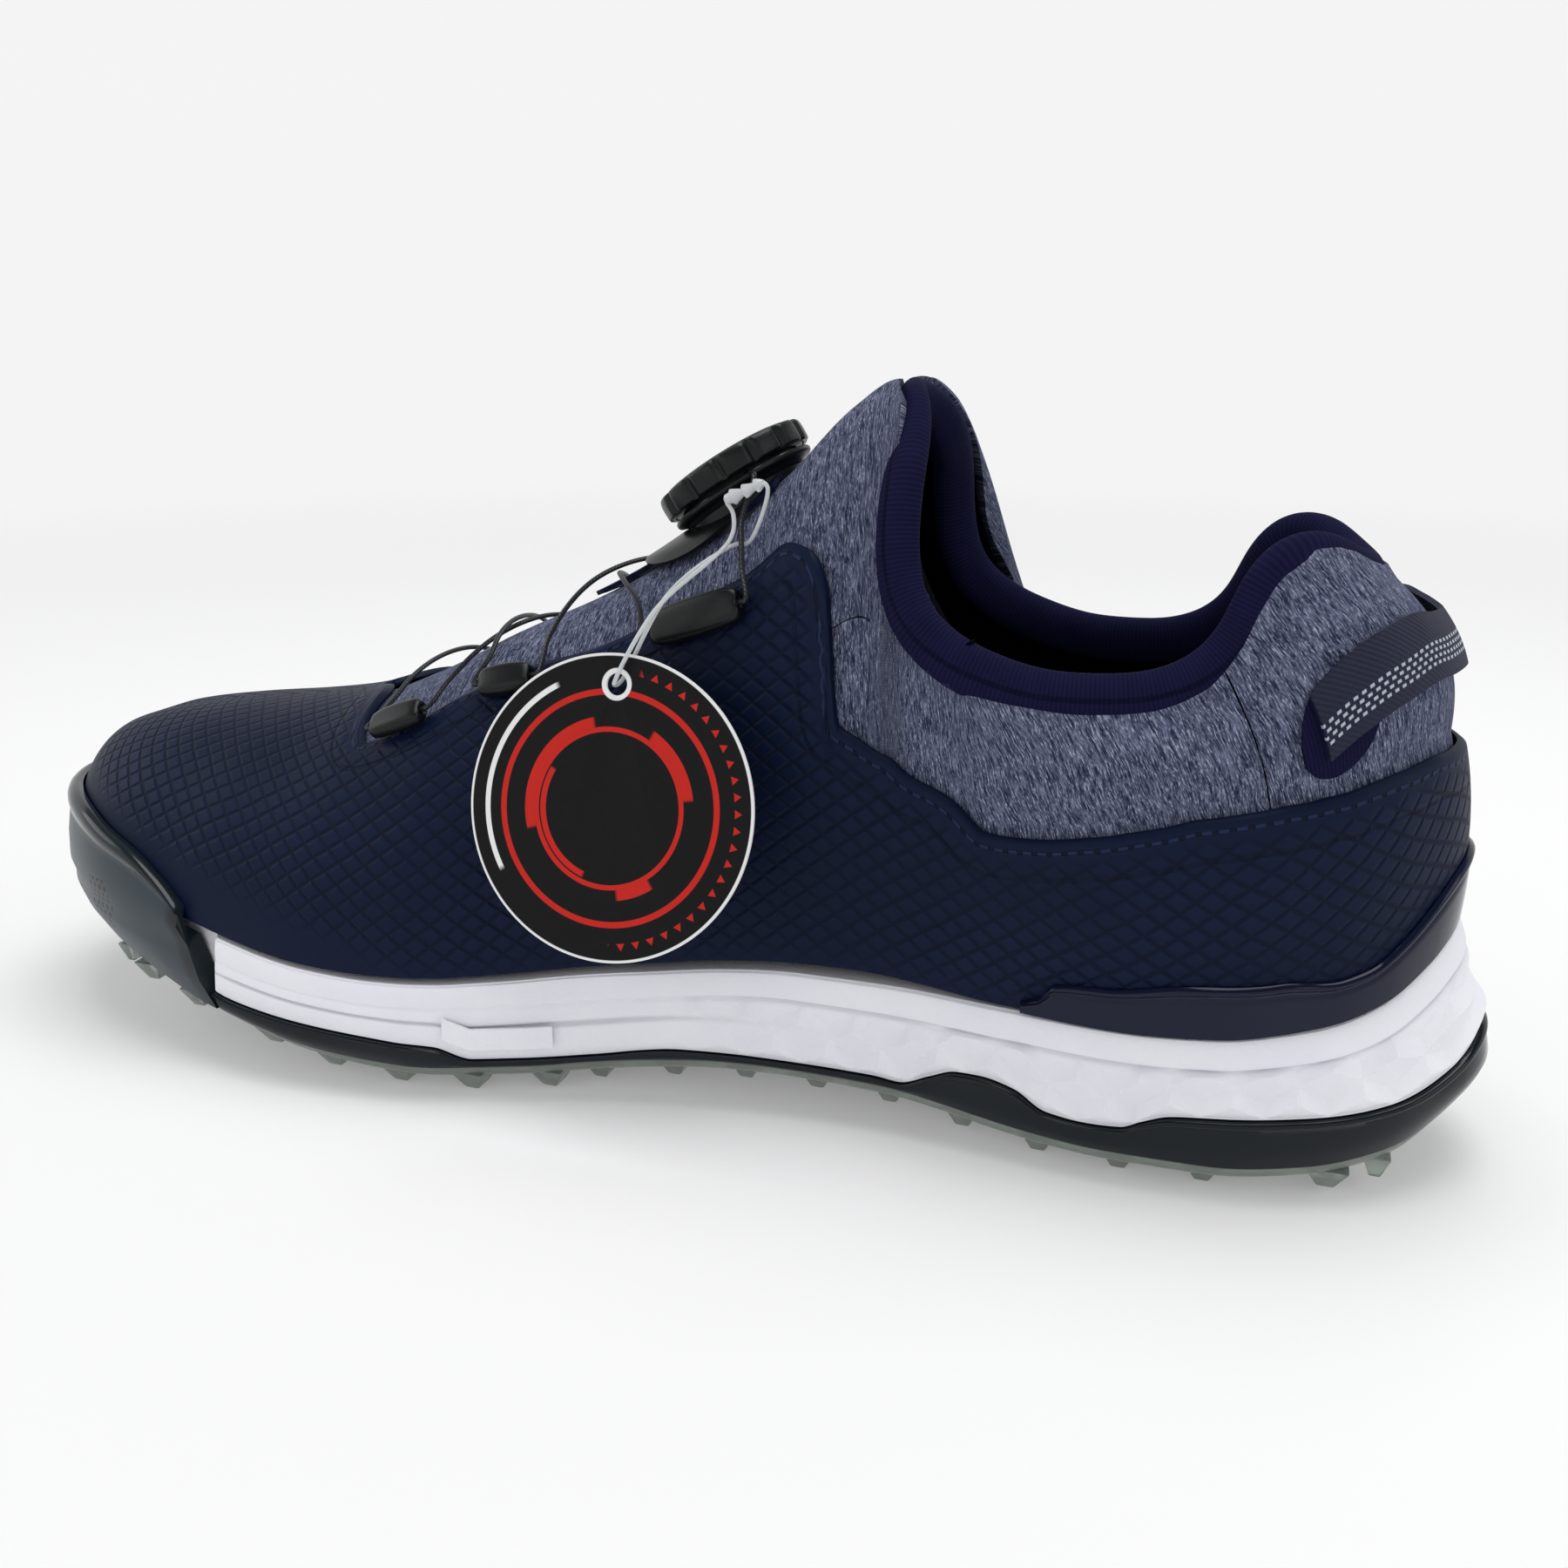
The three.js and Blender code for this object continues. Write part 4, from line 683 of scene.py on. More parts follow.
# %%
def navy_leather():
    """Coated microfibre embossed with small overlapping scales, smooth at the toe and its edges; the scales
    carry painted highlights and shade, and the stitch groove and the fold carry painted shade.
    """
    m = Shade("navy microfibre", (0.003, 0.007, 0.024), 0.46, specular_ior_level=0.10)
    u, v = m.uv()
    drift = m.noise(m.vector(u * 0.05, v * 0.05), 1.0) * 0.35
    p = u / 5.6 + v / 4.3 + drift
    q = u / 5.6 - v / 4.3 + drift
    cell = p.wave().min(q.wave())
    raised = cell.step(0.0, 0.42)
    tilt = (p.fract() + 1 - q.fract()) * 0.5
    flat = m.attribute("smooth")
    grain = m.noise(m.vector(u * 2.2, v * 2.2), 1.0, 4.0)
    edge_distance = m.attribute("edge")
    dash = (u / 2.7).wave().step(0.25, 0.45)
    stitch = (edge_distance - 2.1).abs().step(0.42, 0.22)
    fold = (edge_distance - 6.8).abs().step(0.7, 0.1)
    fade = m.noise(m.vector(u * 0.018, v * 0.03), 1.0, 1.0).step(0.30, 0.62) * 0.6 + 0.4
    emboss = (raised * 0.45 + raised * tilt * 0.55) * (1 - flat) * fade
    m.bump(emboss + grain * 0.05 - stitch * 0.8 + stitch * dash * 1.4 - fold * 0.6, 0.38)
    # painted highlight and shade: raised scales and their tilted faces lighter, the grooves between them
    # darker
    shade = m.mix(raised * (0.4 + tilt * 0.6) * fade, (0.0015, 0.0048, 0.019), (0.0040, 0.0105, 0.038))
    plain = m.mix(flat, shade, (0.0026, 0.0072, 0.027))
    # painted shade: darker in the sunk stitch groove and along the fold crease
    plain = m.mix((stitch * 0.5).max(fold * 0.4), plain, (0.001, 0.002, 0.009))
    m.set("Base Color", m.mix(stitch * dash * 0.6, plain, (0.016, 0.029, 0.085)))
    m.set("Roughness", grain * 0.14 + 0.42 + (1 - raised) * (1 - flat) * 0.10)
    return m.material


def heather_knit():
    """Fine knit with long light and dark streaks running up the wall."""
    m = Shade("heather knit", (0.13, 0.15, 0.32), 0.9, specular_ior_level=0.15)
    u, v = m.uv()
    wander = m.noise(m.vector(u * 0.12, v * 0.12), 1.0) * 2.0
    across = u + v * 0.10 + wander
    fine = m.noise(m.vector(across * 3.4, v * 0.36), 1.0, 3.0, 0.65)
    broad = m.noise(m.vector(across * 1.1, v * 0.16), 1.0, 2.0)
    speck = m.noise(m.vector(across * 6.0, v * 1.3), 1.0, 1.0)
    light = (fine * 0.55 + broad * 0.25 + speck * 0.20).step(0.40, 0.60)
    dark = m.mix(light, (0.011, 0.016, 0.046), (0.145, 0.165, 0.255))
    bright = (fine * 0.55 + speck * 0.45).step(0.53, 0.66)
    knitted = m.mix(bright * 0.75, dark, (0.44, 0.46, 0.58))
    m.set("Base Color", m.mix(m.attribute("inner"), knitted, (0.0025, 0.0027, 0.005)))
    rib = (u * 2.4 + wander * 0.4).wave()
    stitch = (v * 2.0 + rib * 0.5).wave()
    m.bump(rib * 0.4 + stitch * 0.25 + light * 0.35, 0.16)
    return m.material


def rib_knit():
    """Dark stretch binding: fine ribs across the band, and stitches along its lower edge."""
    m = Shade("navy rib knit", (0.008, 0.008, 0.035), 0.85, specular_ior_level=0.05)
    u, v = m.uv()
    rib = (u * 1.35).wave()
    weave = (v * 1.9 + rib).wave()
    cloud = m.noise(m.vector(u * 0.2, v * 0.2), 1.0)
    low = m.attribute("lower")
    zigzag = (low - 0.22 - (u / 3.4).wave() * 0.34).abs().step(0.07, 0.03)
    # painted highlight and shade: rib crests lighter and rib valleys darker; the cloud adds random tone
    cloth = m.mix(rib * 0.5 + cloud * 0.4, (0.0035, 0.0038, 0.018), (0.0115, 0.0118, 0.050))
    m.set("Base Color", m.mix(zigzag * 0.8, cloth, (0.026, 0.028, 0.085)))
    m.bump(rib * 0.6 + weave * 0.3 - zigzag * 0.9, 0.16)
    return m.material


def black_cloth():
    m = Shade("black lining", (0.002, 0.0022, 0.004), 0.95, specular_ior_level=0.02)
    u, v = m.uv()
    m.bump((u * 1.2).wave() * (v * 1.2).wave(), 0.12)
    return m.material


def white_foam():
    """Moulded foam with a fine pebbled skin, and painted shade in its recessed line and its groove."""
    m = Shade("white foam", (0.80, 0.81, 0.86), 0.62)
    at = m.point()
    pebble = m.noise(at, 1500.0, 3.0)
    cloud = m.noise(at, 60.0, 2.0)
    recess = m.attribute("recess")
    tone = m.mix(cloud, (0.74, 0.75, 0.82), (0.84, 0.85, 0.89))
    # painted shade: grey in the recessed line and the groove
    m.set("Base Color", m.mix(recess, tone, (0.42, 0.43, 0.47)))
    m.bump(pebble, 0.10)
    return m.material


def gloss(name, colour, roughness):
    m = Shade(name, colour, roughness, specular_ior_level=0.24)
    at = m.point()
    m.bump(m.noise(at, 180.0, 3.0), 0.05)
    return m.material


def bumper_slate():
    """Satin slate rubber with a small cluster of sunk dots on each flank of the toe."""
    m = Shade("toe bumper", (0.024, 0.037, 0.047), 0.34, specular_ior_level=0.3)
    _, y, z, at = m.place()
    pitch_y, pitch_z = 1.9, 1.5
    row = (z / pitch_z).math("FLOOR")
    py = ((y / pitch_y + row * 0.5).fract() - 0.5) * pitch_y
    pz = ((z / pitch_z).fract() - 0.5) * pitch_z
    dot = (py * py + pz * pz).math("SQRT").step(0.52, 0.38)
    behind, above = (y + 121.0).abs(), (z - 28.5).abs()
    dot = dot * ((behind + above * 0.25).step(4.6, 4.5) * above.step(5.3, 5.2))
    lip = m.attribute("lip")
    face = m.mix(lip, (0.026, 0.040, 0.051), (0.008, 0.014, 0.018))
    # painted shade: the sunk dots are coloured darker
    m.set("Base Color", m.mix(dot, face, (0.006, 0.009, 0.012)))
    m.set("Roughness", 0.36 - lip * 0.22)
    m.bump(m.noise(at, 160.0, 3.0) * 0.15 - dot, 0.4)
    return m.material


def smoky_clear():
    m = Shade("clear outsole", (0.36, 0.41, 0.37), 0.14, transmission_weight=0.6, ior=1.48)
    at = m.point()
    m.bump(m.noise(at, 220.0, 2.0), 0.08)
    return m.material


def dial_plastic():
    m = Shade("dial plastic", (0.0025, 0.0042, 0.0045), 0.34, specular_ior_level=0.25)
    at = m.point()
    m.bump(m.noise(at, 1400.0, 2.0), 0.03)
    return m.material


def webbing():
    """Woven tape with two rows of silver dashes."""
    m = Shade("navy webbing", (0.006, 0.009, 0.03), 0.62, specular_ior_level=0.3)
    u, v = m.uv()
    twill = (u * 0.9 + v * 0.9).wave()
    fine = (u * 1.6 - v * 1.6).wave()
    m.bump(twill * 0.7 + fine * 0.3, 0.2)
    dash = None
    for row, shift in enumerate((0.0, 0.5, 0.0, 0.5)):
        centre = 2.9 + row * 1.05
        line = (v - centre).abs().step(0.32, 0.2)
        cut = (u / 1.7 + shift).wave().step(0.42, 0.55)
        dash = line * cut if dash is None else dash.max(line * cut)
    # painted highlight and shade: the twill ridges lighter, the hollows between them darker
    base = m.mix(twill, (0.0022, 0.0034, 0.016), (0.0075, 0.012, 0.042))
    m.set("Base Color", m.mix(dash, base, (0.42, 0.47, 0.55)))
    m.set("Roughness", 0.66 - dash * 0.3)
    return m.material


def cable_steel():
    """Coated strand, with the twist of its wires showing."""
    m = Shade("lace cable", (0.012, 0.014, 0.018), 0.36, metallic=0.3)
    u, v = m.uv()
    m.bump((u * 1.1 + v * 1.9).wave(), 0.12)
    return m.material


def clear_nylon():
    m = Shade("clear nylon", (0.80, 0.83, 0.85), 0.22, transmission_weight=0.45, ior=1.5)
    at = m.point()
    m.bump(m.noise(at, 900.0), 0.02)
    return m.material


NAVY = navy_leather()
KNIT = heather_knit()
RIB = rib_knit()
LINING = black_cloth()
FOAM = white_foam()
RIM_GLOSS = gloss("glossy rim", (0.0022, 0.0055, 0.0095), 0.10)
BUMPER_GLOSS = bumper_slate()
CLIP_GLOSS = gloss("heel clip", (0.0022, 0.0048, 0.022), 0.12)
CLEAR = smoky_clear()
PLASTIC = dial_plastic()
WEBBING = webbing()
CABLE = cable_steel()
NYLON = clear_nylon()
print("materials:", len(bpy.data.materials))

# %% [markdown]
# ## The sole
# Each sole piece is a ring of sections round the shoe. A section lists (inset, height) pairs on the
# side wall, and the wall's own taper comes from `side_inset`.

# %%
BASE_THICKNESS, RIM_THICKNESS, GAP = 2.6, 3.0, 0.3


def side_inset(station, z):
    w, bottom, top = widest(station), sole_bottom(station), feather_height(station)
    below = bottom_inset(station) * np.maximum((w - z) / (w - bottom), 0) ** 1.5
    above = feather_inset(station) * np.maximum((z - w) / np.maximum(top - w, 0.1), 0) ** 1.3
    return np.where(z < w, below, above)


def sections(cols, rows):
    """rows(station) gives the inset and the height of every row."""

    def one(side, u):
        s = station_of(u)
        inset, z = rows(s)
        return footprint(side, u[:, None] + 0 * z, side_inset(s[:, None], z) + inset, z)

    return on_columns(cols, one)


def ring_mesh(name, material, points, loop=True, attributes=None, angle=35):
    """Closed sections joined one to the next, and capped at both ends where they form no loop."""
    n, m = points.shape[:2]
    index = np.arange(n * m).reshape(n, m)
    uu, vv = lengths(points)
    faces = []
    for i in range(n if loop else n - 1):
        a, b = index[i], index[(i + 1) % n]
        for j in range(m):
            k = (j + 1) % m
            faces.append((a[j], b[j], b[k], a[k]))
    if not loop:
        faces += [tuple(index[0]), tuple(index[-1][::-1])]
    uv = np.stack([uu, vv], -1).reshape(-1, 2)
    flat = {k: np.broadcast_to(v, (n, m)).ravel() for k, v in (attributes or {}).items()}
    return make(name, points.reshape(-1, 3), faces, material, uv, flat, angle)


# %% [markdown]
# The midsole is one ring of sections. Its side has a rolled top edge and a groove; behind the
# waist the face below the groove is faceted, and in front it carries one recessed line.

# %%
behind_rim = curve((-151, 5), (-84, 5), (-80, 3.7), (151, 3.7))
behind_bumper = curve((-151, 5), (-90, 5), (-86.5, 1), (151, 1))
roll_height = curve((-151, 4.2), (-60, 4.4), (0, 4.8), (60, 5.4), (110, 5.6), (151, 6))
facet_share = curve((-151, 0), (-8, 0), (22, 0.8), (45, 1), (151, 1))
SIDE_ROWS = 34  # rows between the rim and the groove
LINE_AT = 0.60  # height of the recessed line, as a share of those rows
FACET_WIDTH, FACET_HEIGHT = 10.4, 5.6


def midsole_side(s):
    bottom = sole_bottom(s) + BASE_THICKNESS + GAP
    top = feather_height(s)
    step = np.maximum(rim_top(s) + GAP, bottom + 0.5)
    groove = top - roll_height(s)
    column = lambda v: np.broadcast_to(v, s.shape)[:, None]
    t = np.linspace(0, 1, SIDE_ROWS)
    lower = column(step) + (column(groove) - column(step)) * t
    roll = np.linspace(0, 1, 25)[1:]
    upper = column(groove) + (column(top) - column(groove)) * roll
    z = np.concatenate([column(bottom), column(step), lower, upper], 1)
    out = column(behind_bumper(s))
    # the facets: rows of triangles, each with its own slope
    q = (lower - column(step)) / FACET_HEIGHT
    p = column(s) / FACET_WIDTH + 0.5 * np.floor(q)
    fx, fz = p - np.floor(p), q - np.floor(q)
    up_triangle = np.abs(2 * fx - 1) < 1 - fz
    ridge_up = np.minimum((1 - fz) - np.abs(2 * fx - 1), fz * 0.9)
    ridge_down = np.minimum(np.abs(2 * fx - 1) - (1 - fz), (1 - fz) * 0.9)
    relief = np.where(up_triangle, ridge_up * 2.6, -ridge_down * 1.4)
    fade = smoothstep(0, 0.1, t) * smoothstep(1, 0.9, t)
    facet = relief * 1.15 * column(facet_share(s)) * fade
    line = np.exp(-(((t - LINE_AT) / 0.045) ** 2)) * 0.55 * column(1 - facet_share(s))
    line = line * column(smoothstep(-88, -80, s))
    rear = column(0.3 + 0.7 * facet_share(s))
    lip = 0.9 * np.exp(-(((1 - t) / 0.07) ** 2)) * rear
    lower_inset = out + line - facet + lip - 0.25
    bulge = np.sqrt(np.maximum(1 - (2 * roll - 0.85) ** 2 / 1.35, 0))
    upper_inset = out + (0.65 - bulge) * rear - 0.25 * (1 - rear) + np.where(roll > 0.93, 0.4, 0)
    inset = np.concatenate([column(behind_rim(s)), column(behind_rim(s)), lower_inset, upper_inset], 1)
    return inset, z


def build_midsole():
    cols = whole_ring(620)
    side_points = sections(cols, midsole_side)

    def inner(side, u):
        s = station_of(u)
        inset = feather_inset(s) + UPPER_SEAT + 3.6 - GAP
        z = np.stack([feather_height(s), footbed(s) - 2.1], -1)
        return footprint(side, u[:, None] + 0 * z, inset[:, None] + 0 * z, z)

    inside = on_columns(cols, inner)
    points = np.concatenate([side_points, inside], 1)
    n, m = points.shape[:2]
    station = on_columns(cols, lambda side, u: station_of(u)[:, None])[:, 0]
    # painted shade: greys the foam along the recessed line in front, and in the groove under the rolled edge
    # behind the waist
    recess = np.zeros((n, m))
    rows = slice(2, 2 + SIDE_ROWS)
    t = np.linspace(0, 1, SIDE_ROWS)
    recess[:, rows] = np.exp(-(((t - LINE_AT) / 0.05) ** 2)) * 0.6 * (1 - facet_share(station))[:, None]
    recess[:, rows] += np.exp(-(((1 - t) / 0.05) ** 2)) * 0.35 * facet_share(station)[:, None]
    faces = bridge(points)
    uu, vv = lengths(points)
    return make(
        "midsole sculpted", points.reshape(-1, 3), faces, FOAM,
        np.stack([uu, vv], -1).reshape(-1, 2), {"recess": recess.ravel()}, 11,
    )


midsole = build_midsole()
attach(midsole, "shoe")
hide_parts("midsole")
print("midsole faces:", len(midsole.data.polygons))

# %% [markdown]
# The glossy rim wraps the bottom of the sole behind the bumper. Its top edge waves and carries a
# thin raised bead.

# %%
def bumper_end(z):
    return -95 + (30 - z) * 0.5


RIM_FRONT = -74
RIM_SHARES = np.array([0, 0.2, 0.4, 0.6, 0.75, 0.84, 0.87, 0.91, 0.95, 0.985, 1.0])
RIM_INSETS = np.array(
    [0.3, 0.02, -0.08, 0.0, 0.12, 0.18, -0.16, -0.34, -0.32, -0.1, 0.3, RIM_THICKNESS, RIM_THICKNESS]
)


def rim_rows(s):
    low = sole_bottom(s) + BASE_THICKNESS + GAP
    top = np.maximum(rim_top(s), low + 0.4)
    z = low[:, None] + (top - low)[:, None] * RIM_SHARES
    z = np.concatenate([z, top[:, None], low[:, None]], 1)
    return RIM_INSETS + 0 * z, z


rim_columns = around(RIM_FRONT, 151, 420)
rim_points = sections(rim_columns, rim_rows)
for end, side in ((0, MEDIAL), (-1, LATERAL)):
    # the front ends lean back with the bumper, so each row of them ends at its own station
    lean = bumper_end(rim_points[end, :, 2]) + GAP
    block = []
    for k in np.linspace(1, 0, 9)[1:]:
        s = RIM_FRONT + (lean - RIM_FRONT) * (1 - k)
        z = np.diagonal(rim_rows(s)[1])
        block.append(footprint(side, column_at(s), side_inset(s, z) + RIM_INSETS, z))
    block = np.array(block)
    rim_points = np.concatenate([block[::-1], rim_points] if end == 0 else [rim_points, block])
rim = ring_mesh("glossy rim", RIM_GLOSS, rim_points, loop=False, angle=50)
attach(rim, "shoe")
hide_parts("outsole_rim")
print("rim faces:", len(rim.data.polygons))

# %% [markdown]
# The toe bumper wraps the toe: a flat lower face, and a thick rounded top edge that laps the upper.

# %%
bumper_top = curve(
    (-151, 47), (-140, 46.6), (-130, 45.5), (-120, 43.2), (-111, 40.7), (-104, 37.4), (-98, 33.8),
    (-94, 30.6),
)
UPPER_OUTER = 1.7  # the outer face of the upper, off the last


def v_at_height(side, u, z):
    """The v at which the last stands z high."""
    low, high = np.zeros_like(u), np.ones_like(u)
    for _ in range(24):
        mid = (low + high) / 2
        under = wall(side, u, mid)[..., 2] < z
        low, high = np.where(under, mid, low), np.where(under, high, mid)
    return (low + high) / 2


def build_bumper():
    count = 120
    outlines = []
    for side in (MEDIAL, LATERAL):
        share = np.linspace(1, 0, count + 1)
        at_level = lambda z: column_at(bumper_end(z)) * share
        u0 = at_level(14)
        bottom = sole_bottom(station_of(u0)) + BASE_THICKNESS + GAP
        feather = feather_height(station_of(u0))

        def point(z, inset):
            u = at_level(np.mean(z) * 0.3 + z * 0.7)
            return footprint(side, u, side_inset(station_of(u), z) + inset, z)

        top = np.maximum(bumper_top(station_of(at_level(32))), feather + 1.6)
        # the rounded edge, thicker towards the free rear end
        end = smoothstep(0.72, 1.0, share)
        rows = [point(bottom, 0.0), point(bottom * 0.6 + feather * 0.4, -0.1)]
        rows.append(point(bottom * 0.35 + feather * 0.65, -0.15))
        rows.append(point(feather - 2.2, -0.2))
        u1 = at_level(32)
        for t, out in (
            (0.10, 2.9), (0.40, 2.55), (0.62, 2.3), (0.70, 2.25), (0.74, 2.5), (0.80, 2.95), (0.86, 3.15),
            (0.92, 3.0), (0.96, 2.6), (0.99, 2.0), (1.0, 1.4), (1.0, 0.5),
        ):
            z = feather + (top - feather) * t
            rows.append(skin(side, u1, v_at_height(side, u1, z), UPPER_OUTER + out - end * 0.5))
        inside = UPPER_OUTER + 0.5
        rows.append(skin(side, u1, v_at_height(side, u1, (top + feather) / 2), inside))
        rows.append(skin(side, u1, v_at_height(side, u1, feather + 0.4), inside))
        rows += [point(feather - 1, 3.6), point(bottom, 3.7)]
        block = np.stack(rows, 1)
        outlines.append(block if side == MEDIAL else block[::-1][1:])
    return np.concatenate(outlines)


bumper_points = build_bumper()
lip = np.zeros(bumper_points.shape[1])
lip[8:16] = 1
rear = smoothstep(0.955, 0.985, np.abs(np.linspace(-1, 1, len(bumper_points))))
bumper = ring_mesh(
    "toe bumper sculpted", BUMPER_GLOSS, bumper_points, loop=False, angle=50,
    attributes={"lip": np.maximum(lip[None, :], rear[:, None])},
)
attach(bumper, "shoe")
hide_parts("toe_bumper")
print("bumper faces:", len(bumper.data.polygons))

# %% [markdown]
# The clear outsole is a plate with rows of bevelled lugs. Each lug starts as a cube that is
# narrowed at its lower face and bevelled.

# %%
def base_section(side, u):
    """The plate's inset is even, with none of the wall's taper."""
    s = station_of(u)
    z = sole_bottom(s)[:, None] + np.array([0.0, 0.25, 0.9, 1.8, 2.45, BASE_THICKNESS])
    inset = np.array([2.5, 1.3, 0.4, 0.0, 0.0, 0.2]) + 0 * z
    return footprint(side, u[:, None] + 0 * z, bottom_inset(s)[:, None] + inset, z)


base_points = on_columns(whole_ring(260), base_section)
base = make("clear outsole", base_points.reshape(-1, 3), bridge(base_points), CLEAR, angle=50)

LUG_SIZE = (0.0088, 0.0072, 0.0044)  # metres
LUG_PITCH = 14.5
bpy.ops.object.select_all(action="DESELECT")
bpy.ops.mesh.primitive_cube_add(size=1, location=(0, 0, 0))
lug = bpy.context.object
lug.name = "lug"
bpy.ops.object.mode_set(mode="EDIT")
bpy.ops.mesh.select_all(action="SELECT")
bpy.ops.transform.resize(value=LUG_SIZE, center_override=(0, 0, 0))
bpy.ops.object.mode_set(mode="OBJECT")
for v in lug.data.vertices:
    if v.co.z < 0:
        v.co.x *= 0.46
        v.co.y *= 0.40
bevel = lug.modifiers.new("bevel", "BEVEL")
bevel.width, bevel.segments = 0.00045, 2
bpy.ops.object.modifier_apply(modifier="bevel")
bpy.ops.object.shade_smooth_by_angle(angle=math.radians(30))

lugs = bpy.data.meshes.new("lugs")
lug_bm = bmesh.new()
for s in np.clip(np.arange(-124, 140.01, LUG_PITCH), -118.5, 130.5):
    u = np.array([column_at(s)])
    width = float(sole_width[MEDIAL](u)[0] - sole_width[LATERAL](u)[0])
    count = max(2, round(width / 27))
    for i in range(count):
        x0, x1 = (float(footprint(side, u, 9, 0)[0, 0]) for side in (LATERAL, MEDIAL))
        x = x0 + (x1 - x0) * ((i + 0.5) / count - 0.5 / count) / (1 - 1 / count)
        shift = 3 if i % 2 else -3
        z = float(sole_bottom(s + shift))
        tip = max(z - 3.4, 0)
        size = (1 if i % 2 else 0.85) * (0.66 if abs(s - 6) > 118 else 1.05)
        start = len(lug_bm.verts)
        lug_bm.from_mesh(lug.data)
        lug_bm.verts.ensure_lookup_table()
        height = z + 1 - tip
        for v in lug_bm.verts[start:]:
            v.co.x = v.co.x * size + x * MM
            v.co.y = v.co.y * size + (s + shift) * MM
            v.co.z = (v.co.z + LUG_SIZE[2] / 2) / LUG_SIZE[2] * height * MM + tip * MM
lug_bm.to_mesh(lugs)
lug_bm.free()
bpy.data.objects.remove(lug)
lugs.materials.append(CLEAR)
lugs_object = link(lugs, "lugs")
for piece in (base, lugs_object):
    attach(piece, "shoe")
    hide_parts("outsole_base")
print("lug vertices:", len(lugs.vertices))

# %% [markdown]
# ## The upper
# The navy shell is one panel round the whole shoe. `smooth` marks where its embossing fades: at the
# toe, and along its top edge. `edge` is the distance below that edge, and places its stitches.

# %%
navy_top = curve(
    (-74, 1), (-70, 0.94), (-67, 0.865), (-63.7, 0.68), (-60, 0.6), (-47, 0.62), (-40, 0.64), (-26, 0.66),
    (-12, 0.63), (0, 0.625), (16, 0.62), (24, 0.633), (30, 0.58), (34, 0.5), (37, 0.3), (42.6, 0.281),
    (50.5, 0.317), (60.4, 0.407), (75, 0.503), (90, 0.593), (97, 0.618), (103, 0.638), (109.5, 0.633),
    (116, 0.608), (122, 0.568), (128, 0.533), (136, 0.513), (151, 0.503),
)
band_low = curve(
    (-151, 1), (32, 1), (34, 0.965), (36, 0.925), (38, 0.87), (39.2, 0.79), (40, 0.7), (40.6, 0.6),
    (41.2, 0.52), (42.6, 0.477), (47.2, 0.472), (53.9, 0.568), (62, 0.71), (71.1, 0.859), (82.3, 0.894),
    (90, 0.91), (101, 0.905), (116, 0.894), (124, 0.889), (128, 0.915), (135, 0.93), (140, 0.925),
    (151, 0.935),
)


def navy_outer(s, v):
    """The outer face, which falls away at the free top edge."""
    top = navy_top(s)
    t = v / np.maximum(top, 1e-3)
    closed_ridge = top > 0.999
    fall = -smoothstep(1 - 0.045, 1, t) ** 2
    return UPPER_OUTER + 0.9 * np.where(closed_ridge, 0, fall)


upper = panel(
    "navy upper", NAVY, whole_ring(700, dense=(-74, -70, -67, -63.7, -60, 34, 37, 42.6)), 60,
    lambda s: 0.014 + 0 * s, navy_top, navy_outer, 0.3, ring=True, angle=60, u_row=0,
)


def shape_upper(obj):
    mesh = obj.data
    get = lambda name: np.array([d.value for d in mesh.attributes[name].data])
    station, low = get("station"), get("from_low")
    top = KDTree(1600)
    number = 0
    for side in (MEDIAL, LATERAL):
        us = np.linspace(float(column_at(-71)), 1, 800)
        for point in skin(side, us, navy_top(station_of(us)), UPPER_OUTER):
            top.insert(point * MM, number)
            number += 1
    top.balance()
    edge_mm = np.array([top.find(v.co)[2] for v in mesh.vertices]) / MM
    smooth = 1 - smoothstep(2.6, 5.0, edge_mm)
    front = curve((-151, 25), (-130, 19), (-100, 12), (-60, 7), (-40, 1), (151, 1))
    smooth = np.maximum(smooth, 1 - smoothstep(front(station) - 3, front(station) + 4, low))
    for name, values in (("smooth", smooth), ("edge", edge_mm)):
        point_value(mesh, name, values)


shape_upper(upper)
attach(upper, "shoe")
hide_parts("upper_shell")
print("upper faces:", len(upper.data.polygons))

# %% [markdown]
# The knit tongue and the padded collar. The pad swells between the navy edge and the binding, and
# gathers into wrinkles where the collar meets the tongue.

# %%
BOOTIE_INNER, BOOTIE_OUTER = -3.0, -0.4
COLLAR_SEAM, HEEL_SEAM = 0.43, 114.5
collar_low = curve(
    (32, 0.25), (37, 0.21), (42.6, 0.19), (50.5, 0.23), (60.4, 0.32), (75, 0.41), (90, 0.5), (103, 0.548),
    (109.5, 0.543), (116, 0.518), (122, 0.478), (128, 0.443), (136, 0.423), (151, 0.413),
)


def wrinkles(s, v, length, height, depth):
    """Folds that fan out from the corner between the tongue and the collar."""
    ds, dv = (s - 39.5), (v - 0.50) * 60
    reach = np.exp(-((ds / length) ** 2 + (dv / height) ** 2))
    fan = np.sin(np.arctan2(dv, ds + 4) * 9 + 0.6 * np.sin(ds * 0.5))
    return depth * fan * reach


def puff(s, v):
    """The outer face of the padded collar."""
    start = navy_top(s) + 0.025
    t = np.clip((v - start) / np.maximum(band_low(s) - start, 1e-3), 0, 1)
    swell = np.clip((s - 38) / 30, 0.15, 1)
    flat = BOOTIE_OUTER + swell * (2.6 * np.sin(np.pi * t) + 1.2 * t)
    seam = -0.9 * np.exp(-(((s - HEEL_SEAM) / 0.8) ** 2)) * np.sin(np.pi * t) * (v > start)
    folds = wrinkles(s, v, 11, 15, 0.42) * np.sin(np.pi * np.clip(t * 1.1, 0, 1))
    return flat + folds + seam


